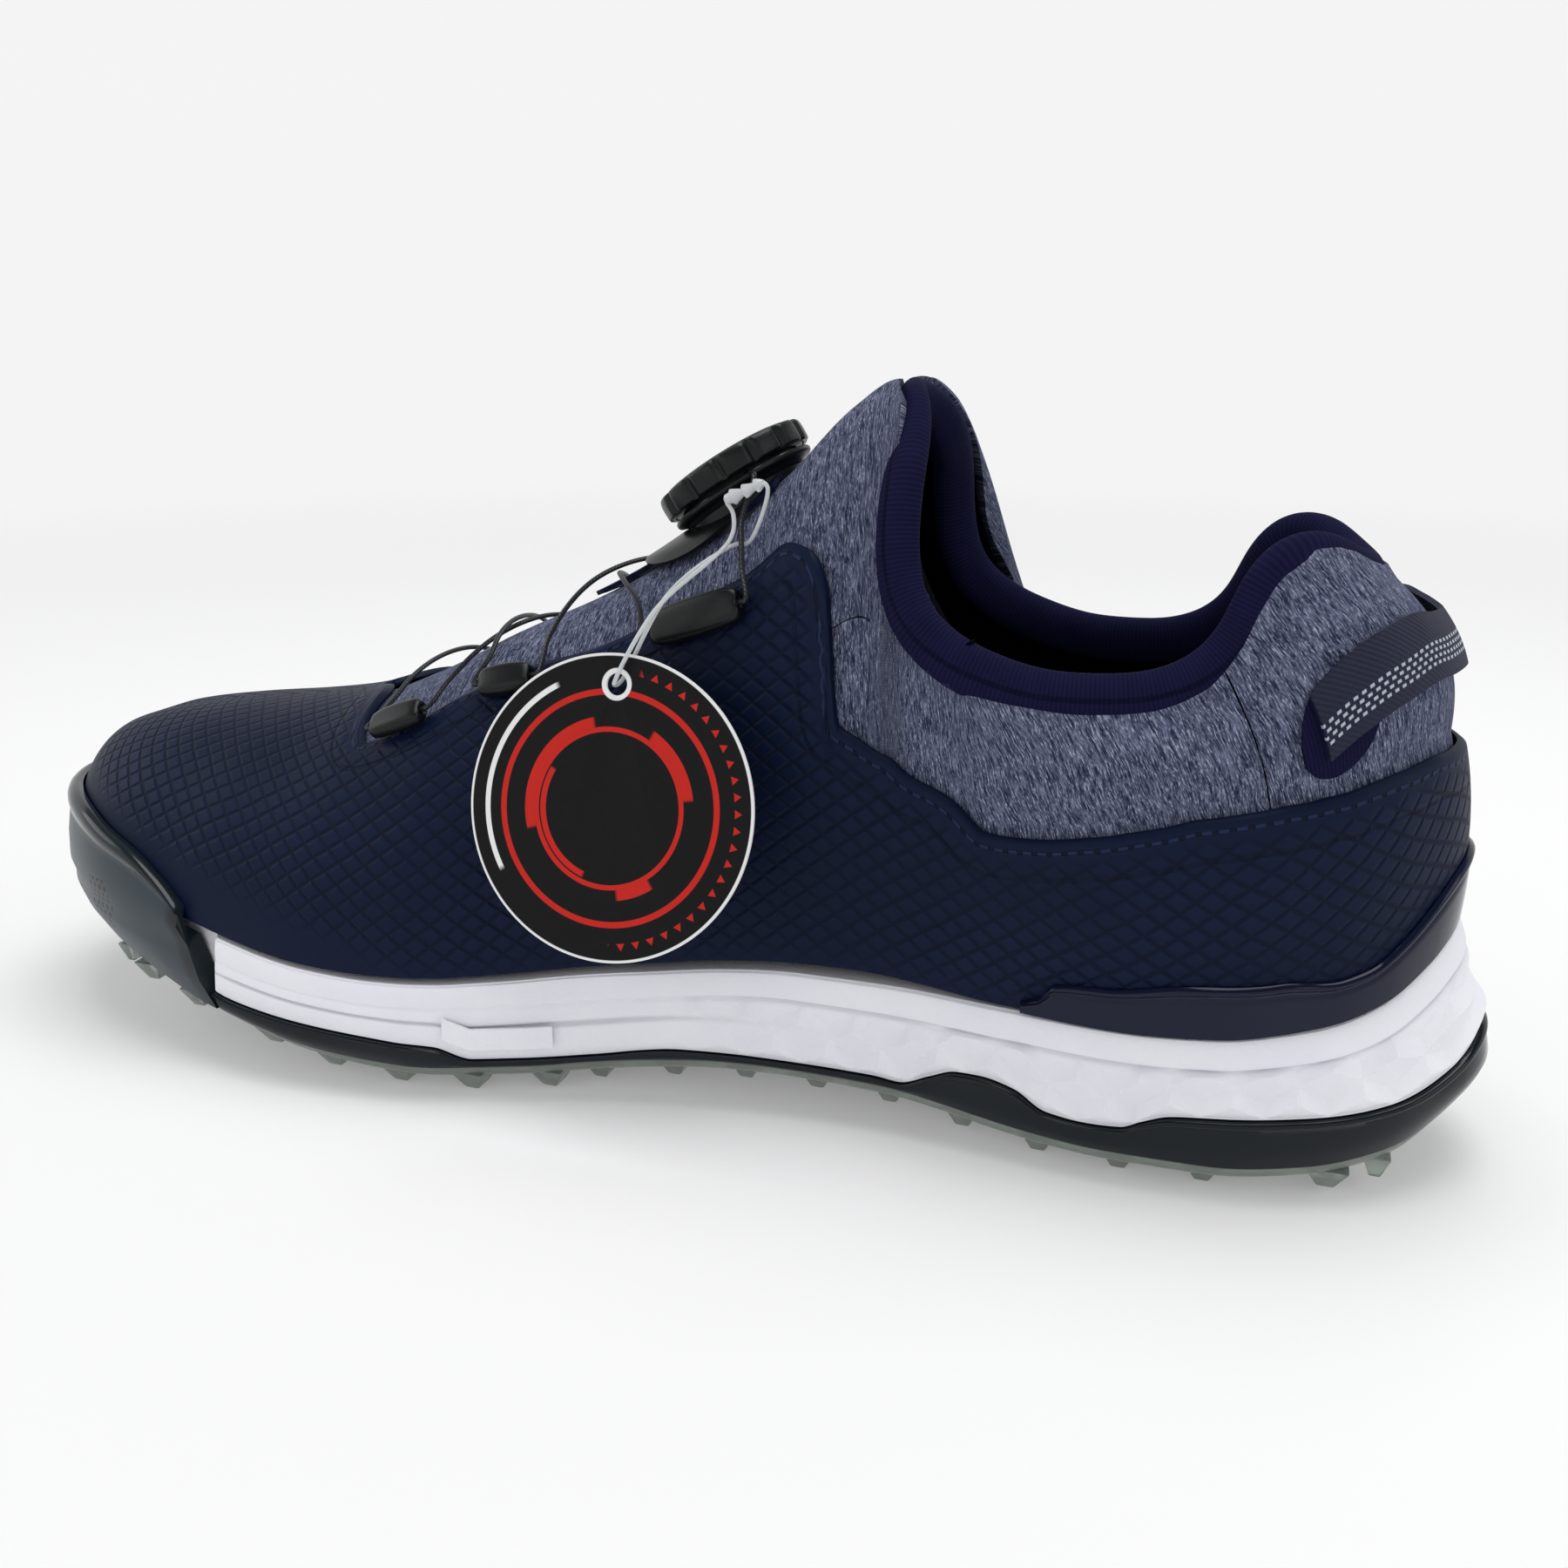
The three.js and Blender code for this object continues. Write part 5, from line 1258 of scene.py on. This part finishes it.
def collar_high(s, side):
    return np.where(s < 42, COLLAR_SEAM + 0.002, under_binding(s, side))


def knit(name, node, cols, rows, low, high, outer):
    obj = panel(name, KNIT, cols, rows, low, high, outer, BOOTIE_INNER, angle=60)
    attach(obj, "shoe")
    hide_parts(node)
    return obj


for side, label in ((MEDIAL, "medial"), (LATERAL, "lateral")):
    knit(
        f"padded collar {label}", f"collar_{label}",
        columns(side, 33, HEEL_SEAM - 0.15, 220, dense=(42, 47)), 44, collar_low, collar_high, puff,
    )
heel_columns = around(HEEL_SEAM + 0.15, 151, 90)
knit("padded collar heel", "collar_heel", heel_columns, 44, collar_low, collar_high, puff)


def tongue_low(s):
    return np.where(s < -70, 0.82, np.maximum(navy_top(s) - 0.1, COLLAR_SEAM + 0.004))


def tongue_outer(s, v):
    return BOOTIE_OUTER + wrinkles(s, v, 12, 14, 0.35)


def closed_or_bound(s, side):
    """The ridge where the upper is closed, and the binding where it is open."""
    return np.where(s < 30, 1, under_binding(s, side))


def mirrored(name, material, start, end, count, rows, low, high, outer, inner, dense=()):
    """A piece over the ridge: two strips that share their points along it."""
    parts = [
        panel(
            name + str(k), material, columns(side, start, end, count, dense), rows,
            low, high, outer, inner, angle=60, from_top=True,
        )
        for k, side in enumerate((MEDIAL, LATERAL))
    ]
    bpy.ops.object.select_all(action="DESELECT")
    for part in parts:
        part.select_set(True)
    bpy.context.view_layer.objects.active = parts[0]
    bpy.ops.object.join()
    joined = bpy.context.object
    joined.name = name.replace(" ", "_")
    bm = bmesh.new()
    bm.from_mesh(joined.data)
    bmesh.ops.remove_doubles(bm, verts=bm.verts, dist=2e-5)
    bmesh.ops.recalc_face_normals(bm, faces=bm.faces)
    bm.to_mesh(joined.data)
    bm.free()
    return joined


tongue = mirrored(
    "knit tongue", KNIT, -82, 42.6, 320, 40, tongue_low, closed_or_bound, tongue_outer, BOOTIE_INNER,
    dense=(-74, -70, -67, -63.7, 34, 37),
)
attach(tongue, "shoe")
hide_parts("tongue")
overlay_low = curve((-22, 0.975), (-18, 0.93), (-7, 0.91), (2, 0.82), (12, 0.82), (20, 0.86))
overlay = mirrored("tongue facing", NAVY, -22, 20, 60, 16, overlay_low, lambda s: 1 + 0 * s, 1.0, 0.1)
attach(overlay, "shoe")
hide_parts("tongue_overlay")
print("knit pieces made")

# %% [markdown]
# The binding is a rolled band round the collar's rim, and the lining hangs inside it.

# %%
def spot(side, s, v, offset):
    return skin(side, np.array([float(column_at(s))]), np.array([v]), np.array([offset]))[0]


def spot_normal(side, s, v):
    return wall_normal(side, np.array([float(column_at(s))]), np.array([v]))[0]


def unit(v):
    return v / np.linalg.norm(v)


def build_binding():
    ahead = np.roll(rim_path, -1, 0) - np.roll(rim_path, 1, 0)
    tangent = ahead / np.linalg.norm(ahead, axis=1, keepdims=True)
    # outward from the middle of the opening, and upward over the top of the tongue
    x, y = rim_path[:, 0], rim_path[:, 1]
    lift = 0.08 + 0.55 * np.exp(-((x / 22) ** 2) - ((y - 42) / 12) ** 2)
    facing = np.stack([x / 32, (y - 84) / 42, lift], -1)
    facing -= tangent * np.sum(facing * tangent, axis=1, keepdims=True)
    facing /= np.linalg.norm(facing, axis=1, keepdims=True)
    down = np.cross(tangent, facing)
    down *= -np.sign(down[:, 2].sum())
    # the roll is slimmer over the top of the tongue
    from_top = np.linalg.norm(rim_path - np.array((0, 42, 135.5)), axis=1)
    slim = 1 - 0.42 * np.exp(-((from_top / 17) ** 2))[:, None]
    rows, count = [], 40
    for k in range(count):
        a = 2 * np.pi * k / count
        c, sn = np.cos(a), np.sin(a)
        across = 3.1 * np.sign(c) * abs(c) ** 0.9
        along = 4.6 * np.sign(sn) * abs(sn) ** 0.85
        across -= 0.5 * (sn > 0) * sn**2
        rows.append(rim_path + facing * (across * slim - 0.7) + down * (along + 4.4) * slim)
    points = np.stack(rows, 1)
    # angle 0 faces out; the lower outer edge is a quarter of the way on
    a = 2 * np.pi * np.arange(count) / count
    lower = np.where(a < np.pi / 2, 1 - a / (np.pi / 2), 2.0)
    lower[0] = 1.0
    return ring_mesh(
        "rolled binding", RIB, points, attributes={"lower": lower[None, :]}, angle=80
    )


binding = build_binding()
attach(binding, "shoe")
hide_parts("collar_binding")

lining = panel(
    "lining cloth", LINING, whole_ring(300, dense=(34, 37, 40, 42, 44, 46, 48, 50)), 30,
    lambda s: -0.92 + 0 * s, closed_or_bound, -3.1, -4.6, ring=True, angle=60,
)
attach(lining, "shoe")
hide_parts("lining")
print("binding faces:", len(binding.data.polygons))

# %% [markdown]
# The moulded heel clip, with a bead along its top edge, and the webbing pull tab on its patches.

# %%
clip_top = curve(
    (70, 0.03), (75, 0.065), (78, 0.116), (89, 0.146), (102, 0.176), (115, 0.161), (125, 0.121),
    (130, 0.116), (135, 0.136), (141, 0.166), (145, 0.191), (151, 0.215),
)


def clip_outer(s, v):
    t = v / np.maximum(clip_top(s), 1e-3)
    bead = 0.55 * np.exp(-(((t - 0.92) / 0.045) ** 2)) - 0.3 * np.exp(-(((t - 0.78) / 0.06) ** 2))
    return UPPER_OUTER + 1.05 - 0.4 * t + bead - 0.6 * smoothstep(0.97, 1, t)


clip = panel(
    "moulded heel clip", CLIP_GLOSS, around(72, 151, 260, dense=(75, 78)), 40,
    lambda s: 0.012 + 0 * s, clip_top, clip_outer, UPPER_OUTER + GAP, angle=60,
)
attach(clip, "shoe")
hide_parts("heel_clip")

strap_middle = curve((124, 0.705), (132, 0.715), (151, 0.758))
strap_lift = curve((124, 1.3), (135, 1.2), (151, 1.6))


def over_puff(lift):
    """An offset that stands a lift, or a curve of lifts, off the padded collar."""
    return lambda s, v: puff(s, v) + (lift(s) if callable(lift) else lift)


STRAP_HALF = 0.07  # half the strap's width, as a share of the wall
strap = panel(
    "webbing strap", WEBBING, around(124, 151, 120), 18,
    lambda s: strap_middle(s) - STRAP_HALF, lambda s: strap_middle(s) + STRAP_HALF,
    over_puff(lambda s: strap_lift(s) + 1.0), over_puff(strap_lift), angle=60,
)
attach(strap, "shoe")
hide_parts("heel_pull_tab")


PATCH_V = 0.68


def patch_half(s):
    t = (2 * s - 253.5) / 12.5
    return 0.095 * np.sqrt(np.maximum(1 - t * t, 0.02))


for side, label in ((MEDIAL, "medial"), (LATERAL, "lateral")):
    along = np.sin(np.linspace(-np.pi / 2, np.pi / 2, 60))
    cols = [(side, float(column_at(126.75 + 6.25 * t))) for t in along]
    patch = panel(
        f"oval patch {label}", RIB, cols, 16,
        lambda s: PATCH_V - patch_half(s), lambda s: PATCH_V + patch_half(s),
        over_puff(1.1), over_puff(0.3), angle=50,
    )
    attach(patch, "shoe")
    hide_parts(f"pull_tab_patch_{label}")
print("heel pieces made")

# %% [markdown]
# ## The dial
# Rounds are turned from a profile about the dial's own axis, then placed by `dial_frame`.

# %%
dial_frame = Matrix.Translation((0, 0.0053, 0.1203)) @ Matrix.Rotation(math.radians(33), 4, "X")
R = 15.5
DIAL_THICK = 6.6
GRIP_GROOVES = 14


def turned(name, material, profile, segments=140, radius_at=None):
    """A closed profile of (radius, height) turned about the dial's axis."""
    points = []
    for i in range(segments):
        a = 2 * np.pi * i / segments
        for r, z in profile:
            rr = radius_at(r, a, z) if radius_at else r
            points.append((rr * np.cos(a), rr * np.sin(a), z))
    m = len(profile)
    faces = []
    for i in range(segments):
        j = (i + 1) % segments
        for k in range(m):
            l = (k + 1) % m
            faces.append((i * m + k, j * m + k, j * m + l, i * m + l))
    obj = make(name, points, faces, material, angle=30)
    obj.data.transform(dial_frame)
    return obj


def grooved(r, a, z):
    """Finger grooves cut into the outside of the grip."""
    share = min(max((r - (R - 1.0)) / 1.0, 0), 1)
    phase = (a * GRIP_GROOVES / (2 * np.pi)) % 1
    depth = 0.85 * np.exp(-(((phase - 0.5) / 0.12) ** 2))
    return r - depth * share


housing = turned("dial cup", PLASTIC, [
    (R - 7.0, -13.3), (R - 3.6, -13.3), (R - 3.3, -8.5), (R - 2.6, -7.6), (R - 1.0, -7.1), (R - 0.75, -6.8),
    (R - 0.7, -6.3), (R - 0.9, -6.0), (R - 3.5, -5.9), (R - 3.7, -3.7), (R - 5.0, -3.7), (R - 5.2, -5.7),
    (R - 7.0, -5.7),
])
grip = turned("finger grip", PLASTIC, [
    (R - 1.2, -0.95), (R - 0.9, -0.72), (R - 0.45, -0.8), (R - 0.15, -1.1), (R, -1.6), (R + 0.05, -2.6),
    (R, -4.2), (R - 0.1, -4.8), (R - 0.45, -5.05), (R - 1.2, -5.1),
], segments=560, radius_at=grooved)
knob = turned("knob face", PLASTIC, [
    (0.01, -0.75), (R * 0.5, -0.72), (R * 0.58, -0.82), (R * 0.61, -0.6), (R * 0.64, -0.38),
    (R * 0.72, -0.18), (R - 3.2, -0.12), (R - 2.2, -0.3), (R - 1.6, -0.75), (R - 1.5, -1.2),
    (R - 1.5, -5.0), (R - 2.9, -5.0),
    (R - 2.9, -1.9), (0.01, -1.9),
])
for piece, body, node in (
    (housing, "shoe", "dial_housing"), (grip, "dial", "knob_grip"), (knob, "dial", "dial_knob"),
):
    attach(piece, body)
    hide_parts(node)


def dial_base_low(s):
    return 1 - 0.225 * np.sqrt(np.maximum(1 - ((s - 4.75) / 14.4) ** 2, 0.03))


def dial_base_outer(s, v):
    up = (v - dial_base_low(s)) / np.maximum(1 - dial_base_low(s), 1e-3)
    return 2.3 - 0.35 * smoothstep(0.25, 0, up)


dial_base = mirrored(
    "dial plinth", PLASTIC, -9.5, 19, 60, 14, dial_base_low, lambda s: 1 + 0 * s, dial_base_outer, 1.35
)
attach(dial_base, "shoe")
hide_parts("dial_base")
print("dial made, radius", R)

# %% [markdown]
# ## Lace guides and lace
# A guide lies along the wall between two places. Its body is a bevelled block, swollen in the
# middle, and the lace runs through all six and back to the dial.

# %%
guide_places = {
    "front": (((-57, 0.61), (-45.5, 0.605)), 6.0),
    "mid": (((-34, 0.625), (-23.5, 0.6)), 6.0),
    "top": (((0.5, 0.585), (18.5, 0.555)), 7.0),
}
GUIDE_LOW = UPPER_OUTER + GAP
GUIDE_BORE = 1.55  # height of the bore above the underside
LACE_RADIUS = 0.5


def guide_frame(side, ends):
    a, b = (spot(side, s, v, GUIDE_LOW) for s, v in ends)
    s, v = (ends[0][0] + ends[1][0]) / 2, (ends[0][1] + ends[1][1]) / 2
    along, length = unit(b - a), np.linalg.norm(b - a)
    up = spot_normal(side, s, v)
    up = unit(up - along * np.dot(up, along))
    rise = max(0, np.dot(spot(side, s, v, GUIDE_LOW) - a, up))
    return (a + b) / 2 + up * (rise + 0.25), along, np.cross(along, up), up, length


def in_frame(f, x, y, z):
    return f[0] + f[1] * x + f[2] * y + f[3] * z


def build_guide(side, name):
    ends, width = guide_places[name]
    f = guide_frame(side, ends)
    half, w = f[4] / 2, width / 2
    xs = half * np.sin(np.linspace(-np.pi / 2, np.pi / 2, 34))
    outer = []
    for x in xs:
        t = abs(x) / half
        end = math.sqrt(max(1 - t**10, 0))
        wide = w * (1.0 - 0.16 * t**2) * (0.62 + 0.38 * end)
        tall = 3.35 * (1.0 - 0.12 * t**2) * (0.70 + 0.30 * end)
        loop = []
        for k in range(28):
            a = 2 * np.pi * (k + 0.5) / 28
            c, sn = math.cos(a), math.sin(a)
            y = wide * math.copysign(abs(c) ** 0.55, c)
            z = tall * (0.5 + 0.5 * math.copysign(abs(sn) ** 0.62, sn))
            y *= 1 + 0.12 * (1 - z / tall)
            loop.append(in_frame(f, x, y, z))
        outer.append(loop)
    outer = np.array(outer)
    n, m = outer.shape[:2]
    bore = []
    for x in np.concatenate([xs[:1] - 0.02, xs[1:-1], xs[-1:] + 0.02]):
        flare = 0.85 + 0.35 * max(0, abs(x) / half - 0.9) * 10
        loop = []
        for k in range(m):
            a = 2 * np.pi * (k + 0.5) / m
            loop.append(in_frame(f, x, flare * math.cos(a), GUIDE_BORE + flare * math.sin(a)))
        bore.append(loop)
    points = np.concatenate([outer.reshape(-1, 3), np.array(bore).reshape(-1, 3)])
    faces = []
    for i in range(n - 1):
        for k in range(m):
            l = (k + 1) % m
            faces.append((i * m + k, i * m + l, (i + 1) * m + l, (i + 1) * m + k))
            faces.append(tuple(n * m + q for q in (i * m + k, (i + 1) * m + k, (i + 1) * m + l, i * m + l)))
    for i in (0, n - 1):
        for k in range(m):
            l = (k + 1) % m
            faces.append((i * m + k, i * m + l, n * m + i * m + l, n * m + i * m + k))
    label = "medial" if side == MEDIAL else "lateral"
    obj = make(f"lace guide {label} {name}", points, faces, PLASTIC, angle=55)
    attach(obj, "shoe")
    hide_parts(f"guide_{label}_{name}")


for side in (MEDIAL, LATERAL):
    for name in guide_places:
        build_guide(side, name)


def through(side, name, reverse=False):
    """The lace's straight run through a guide."""
    f = guide_frame(side, guide_places[name][0])
    half = f[4] / 2
    places = (-half - 1.4, -half, -half / 2, 0, half / 2, half, half + 1.4)
    path = [in_frame(f, x, 0, GUIDE_BORE) for x in places]
    return path[::-1] if reverse else path


def over(side, start, end, lift, bow=0.0):
    """The lace's run across the ridge, from a guide on one side to a guide on the other."""
    steps = 7
    (s0, v0), (s1, v1) = start, end
    total = 2 - v0 - v1
    path = []
    for i in range(steps):
        k = (i + 1) / (steps + 1)
        w, arc = total * k, math.sin(math.pi * k)
        s = s0 + (s1 - s0) * k - bow * arc
        near = w < 1 - v0
        height = 2.9 + (lift - 2.9) * arc**0.7
        path.append(spot(side if near else -side, s, v0 + w if near else 2 - v0 - w, height))
    return path


def exit_point(side, radius):
    a = math.radians(-90 + side * 120)
    z = -DIAL_THICK + 2.15 - (radius - R + 7) * 0.36
    p = dial_frame @ Vector((radius * math.cos(a) * MM, radius * math.sin(a) * MM, z * MM))
    return np.array(p) / MM


def climb(side):
    return [spot(side, s, v, 3.1) for s, v in ((18.2, 0.63), (17.6, 0.69), (17, 0.75))]


def lace_path():
    end = lambda name, k: guide_places[name][0][k]
    return (
        [exit_point(MEDIAL, R - 7), exit_point(MEDIAL, R - 3), exit_point(MEDIAL, R + 1.5)]
        + climb(MEDIAL)[::-1]
        + through(MEDIAL, "top", True)
        + over(MEDIAL, end("top", 0), end("mid", 1), 2.2, 5)
        + through(LATERAL, "mid", True)
        + over(LATERAL, end("mid", 0), end("front", 1), 1.2)
        + through(MEDIAL, "front", True)
        + over(MEDIAL, end("front", 0), end("front", 0), 2.6)
        + through(LATERAL, "front")
        + over(LATERAL, end("front", 1), end("mid", 0), 2.4)
        + through(MEDIAL, "mid")
        + over(MEDIAL, end("mid", 1), end("top", 0), 3.5, 5)
        + through(LATERAL, "top") + climb(LATERAL)
        + [exit_point(LATERAL, R + 1.5), exit_point(LATERAL, R - 3), exit_point(LATERAL, R - 7)]
    )


lace = tube("lace strand", CABLE, spline(lace_path(), 1300), LACE_RADIUS, sides=10)
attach(lace, "shoe")
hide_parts("lace_cable")
print("lace and guides made")

# %% [markdown]
# ## The hang tag
# The tag is a round card with plain printed shapes: rings, an arc and triangles. It hangs by a
# clear string that loops round the lace and closes in a small barbed lock.

# %%
TAG_R = 27.8
HOLE_R = 2.0
HOLE_UP = 22.24  # from the card's middle to its hole
lean = math.radians(14)
tag_up = np.array((-math.sin(lean), 0, math.cos(lean)))
tag_face = np.array((math.cos(lean), 0, math.sin(lean)))
tag_centre = np.array((42, -1.5, 62.0))


def printed_card():
    m = Shade("tag card", (0.004, 0.004, 0.005), 0.5, specular_ior_level=0.12)
    x, y, z, at = m.place()
    # the card's own plane: across is Y, up is along the card
    across = y - float(tag_centre[1])
    up = (x - float(tag_centre[0])) * float(tag_up[0]) + (z - float(tag_centre[2])) * float(tag_up[2])
    radius = (across * across + up * up).math("SQRT")
    angle = across.math("ARCTAN2", up) * (1 / (2 * math.pi)) + 0.5  # 0.5 is up, growing to the heel
    ring = lambda r, half, soft=0.12: (radius - r).abs().step(half + soft, half)
    sector = lambda a, b: (angle - a).step(-0.004, 0.004) * (angle - b).step(0.004, -0.004)
    red = ring(20.9, 0.5).max(ring(14.2, 0.4))
    block = sector(0.20, 0.46).max(sector(0.58, 0.72)).max(sector(0.90, 0.97))
    red = red.max(ring(15.6, 0.9) * block).max(ring(12.9, 0.5) * sector(0.05, 0.33))
    saw = (angle * 52).fract()
    peak = (1 - (saw * 2 - 1).abs() * 1.9) * 1.3
    tooth = (radius - 24.3 - peak).step(0.1, -0.1) * (radius - 24.3).step(-0.1, 0.1)
    red = red.max(tooth * sector(0.53, 0.985))
    arc = ring(24.2, 0.45) * sector(0.16, 0.42)
    rim = (radius - 27.3).step(-0.1, 0.1)
    hole = (across * across + (up - HOLE_UP) * (up - HOLE_UP)).math("SQRT")
    eyelet = (hole - 2.9).step(0.1, -0.1)
    white = arc.max(rim).max(eyelet)
    fleck = m.noise(at, 900.0, 2.0)
    base = m.mix(fleck * 0.4, (0.0035, 0.0035, 0.0042), (0.010, 0.010, 0.012))
    m.set("Base Color", m.mix(white, m.mix(red, base, (0.52, 0.018, 0.012)), (0.78, 0.78, 0.78)))
    return m.material


CARD = printed_card()
tag_points, tag_faces, segments = [], [], 160
card_profile = [
    (HOLE_R, -0.24), (2.06, -0.3), (27.72, -0.3), (TAG_R, -0.2),
    (TAG_R, 0.2), (27.72, 0.3), (2.06, 0.3), (HOLE_R, 0.24),
]
corners = len(card_profile)
for i in range(segments):
    a = 2 * np.pi * i / segments
    direction = np.array((math.sin(a), math.cos(a)))
    for r, z in card_profile:
        share = (r - HOLE_R) / (TAG_R - HOLE_R)
        plane = direction * r + (1 - share) * np.array((0, HOLE_UP))
        tag_points.append(
            tag_centre + np.array((0, 1, 0)) * plane[0] + tag_up * plane[1] + tag_face * z
        )
    for k in range(corners):
        l, j = (k + 1) % corners, (i + 1) % segments
        tag_faces.append((i * corners + k, j * corners + k, j * corners + l, i * corners + l))
tag = make("tag card", tag_points, tag_faces, CARD, angle=30)
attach(tag, "tag")
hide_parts("hang_tag")

below_loop, loop_point, above_loop = climb(MEDIAL)
lace_along = unit(above_loop - below_loop)
loop_out = spot_normal(MEDIAL, 17.6, 0.69)
loop_out = unit(loop_out - lace_along * np.dot(loop_out, lace_along))
loop_toe = np.cross(lace_along, loop_out)
if loop_toe[1] > 0:
    loop_toe = -loop_toe
near_loop = lambda out, toe, up=0: loop_point + loop_out * out + loop_toe * toe + lace_along * up
lock_along = unit(np.array((0.1, 0.9, 0.42)))
lock_at = lambda x: near_loop(3.2, -3.4, 7.5) + lock_along * x
between = lambda a, b, t, out: a + (b - a) * t + loop_out * out
hole = tag_centre + tag_up * HOLE_UP
string_route = spline([
    hole + tag_face * 1.4, between(hole, loop_point, 0.45, 5), near_loop(2.2, 0.6), near_loop(3, -0.6, 4),
    lock_at(-4), lock_at(0), lock_at(4), near_loop(2.4, -8, 7), near_loop(0.4, -4.4, 2),
    near_loop(-1.35, -0.2),
    near_loop(-0.4, 1.9), between(hole, near_loop(0.6, 2.4), 0.6, 4), hole - tag_face * 1.4 + tag_up * 0.6,
], 260, loop=True)
string_curve = bpy.data.curves.new("tag string", "CURVE")
string_curve.dimensions = "3D"
string_curve.bevel_depth, string_curve.bevel_resolution = 0.0004, 3
line = string_curve.splines.new("POLY")
line.points.add(len(string_route) - 1)
for point, place in zip(line.points, string_route):
    point.co = (*(place * MM), 1)
string_curve.materials.append(NYLON)
string = bpy.data.objects.new("tag_string_line", string_curve)
bpy.context.scene.collection.objects.link(string)
string_length = float(np.linalg.norm(np.diff(string_route, axis=0), axis=1).sum()) * MM

LOCK_HALF = 4.2
lock_x = np.linspace(-LOCK_HALF, LOCK_HALF, 60)
barb_x = [-LOCK_HALF, -3.9, -2.6, -2.5, -0.2, 0, 2.4, 2.6, 3.4, LOCK_HALF]
barb = np.interp(lock_x, barb_x, [0.7, 1.0, 1.1, 1.5, 0.62, 1.35, 0.62, 1.3, 1.0, 0.5])
lock = tube("barbed lock", NYLON, [lock_at(x) for x in lock_x], barb, sides=20)
for piece, node in ((string, "tag_string"), (lock, "tag_lock")):
    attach(piece, "shoe")
    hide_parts(node)
print("string length", round(string_length, 4))

# %% [markdown]
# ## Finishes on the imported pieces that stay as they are

# %%
BOARD = Shade("board cloth", (0.32, 0.30, 0.26), 0.9).material
STIFF = Shade("stiffener", (0.35, 0.33, 0.29), 0.85).material
NYLON_BLACK = Shade("black nylon", (0.008, 0.008, 0.009), 0.35).material
METAL = Shade("dial metal", (0.42, 0.43, 0.45), 0.3, metallic=1.0).material
INNER = Shade("dial inner", (0.03, 0.035, 0.035), 0.4).material
kept = {
    "shank_plate": (NYLON_BLACK, "black_nylon"), "strobel_board": (BOARD, "board_cloth"),
    "toe_puff": (STIFF, "stiffener"), "heel_counter": (STIFF, "stiffener"),
    "sockliner": (LINING, "black_knit"),
    "dial_pawl_disc": (INNER, "dial_inner"), "dial_spool": (INNER, "dial_inner"),
    "dial_screw": (METAL, "dial_metal"),
    "midsole_badge": (FOAM, "white_gloss"),
}
for name, (material, slot_name) in kept.items():
    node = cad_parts[name]
    node.data.materials.clear()
    node.data.materials.append(material)
print("kept pieces:", len(kept))

# %% [markdown]
# ## Floor and light
# A pale floor that curves up into a wall all round and glows with painted light, brighter further out, a
# large soft light above, and three fills.

# %%
FLOOR_RADIUS, BEND, WALL_TOP = 1.2, 0.4, 1.15  # metres
floor_points = [(0, 0, 0)]
sweep = [(0.3, 0.0), (0.8, 0.0), (FLOOR_RADIUS, 0.0)]
for a in np.linspace(0.1, math.pi / 2, 10):
    sweep.append((FLOOR_RADIUS + BEND * math.sin(a), BEND - BEND * math.cos(a)))
sweep.append((FLOOR_RADIUS + BEND, WALL_TOP))
sides = 96
for radius, z in sweep:
    for k in range(sides):
        a = 2 * math.pi * k / sides
        floor_points.append((radius * math.cos(a) / MM, radius * math.sin(a) / MM, z / MM))
floor_faces = [(0, 1 + k, 1 + (k + 1) % sides) for k in range(sides)]
for i in range(len(sweep) - 1):
    for k in range(sides):
        l, low, high = (k + 1) % sides, 1 + i * sides, 1 + (i + 1) * sides
        floor_faces.append((low + k, high + k, high + l, low + l))
paper = Shade("paper", (0.7, 0.7, 0.7), 0.95, specular_ior_level=0.03, emission_strength=1.0)
floor_x, floor_y, floor_z, _ = paper.place()
# painted light: the floor glows by its own emission, dim near the shoe and bright far off, and reflects less
# far off, in place of the lights' falloff
far = ((floor_x * floor_x + floor_y * floor_y).math("SQRT") + floor_z).step(180.0, 1300.0)
paper.set("Base Color", paper.mix(far, (0.72, 0.72, 0.72), (0.12, 0.12, 0.12)))
paper.set("Emission Color", paper.mix(far, (0.19, 0.19, 0.19), (0.81, 0.81, 0.81)))
floor = make("floor", floor_points, floor_faces, paper.material, angle=80)
floor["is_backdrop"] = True


def area_light(name, location, size, power):
    """A square light that faces the shoe."""
    data = bpy.data.lights.new(name, "AREA")
    data.shape, data.size, data.energy = "SQUARE", size, power
    light = bpy.data.objects.new(name, data)
    bpy.context.scene.collection.objects.link(light)
    light.location = location
    light.rotation_euler = (Vector(location) - Vector((0, 0, 0.05))).to_track_quat("Z", "Y").to_euler()
    light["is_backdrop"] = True


area_light("top", (-0.1, 0.1, 1.0), 0.7, 6.6)
area_light("front", (1.1, -0.5, 0.75), 0.9, 1.2)
area_light("toe", (0.2, -1.1, 0.7), 0.6, 1.8)
area_light("heel", (0.2, 1.05, 0.7), 0.6, 1.5)
world = bpy.data.worlds.new("studio")
world.use_nodes = True
world.node_tree.nodes["Background"].inputs[0].default_value = (0.93, 0.94, 0.96, 1)
world.node_tree.nodes["Background"].inputs[1].default_value = 0.26
bpy.context.scene.world = world
bpy.context.scene.view_settings.view_transform = "Standard"
print("lights:", len(bpy.data.lights))

# %% [markdown]
# ## Size

# %%
last_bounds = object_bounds()
print("cad", first_bounds, "now", last_bounds)
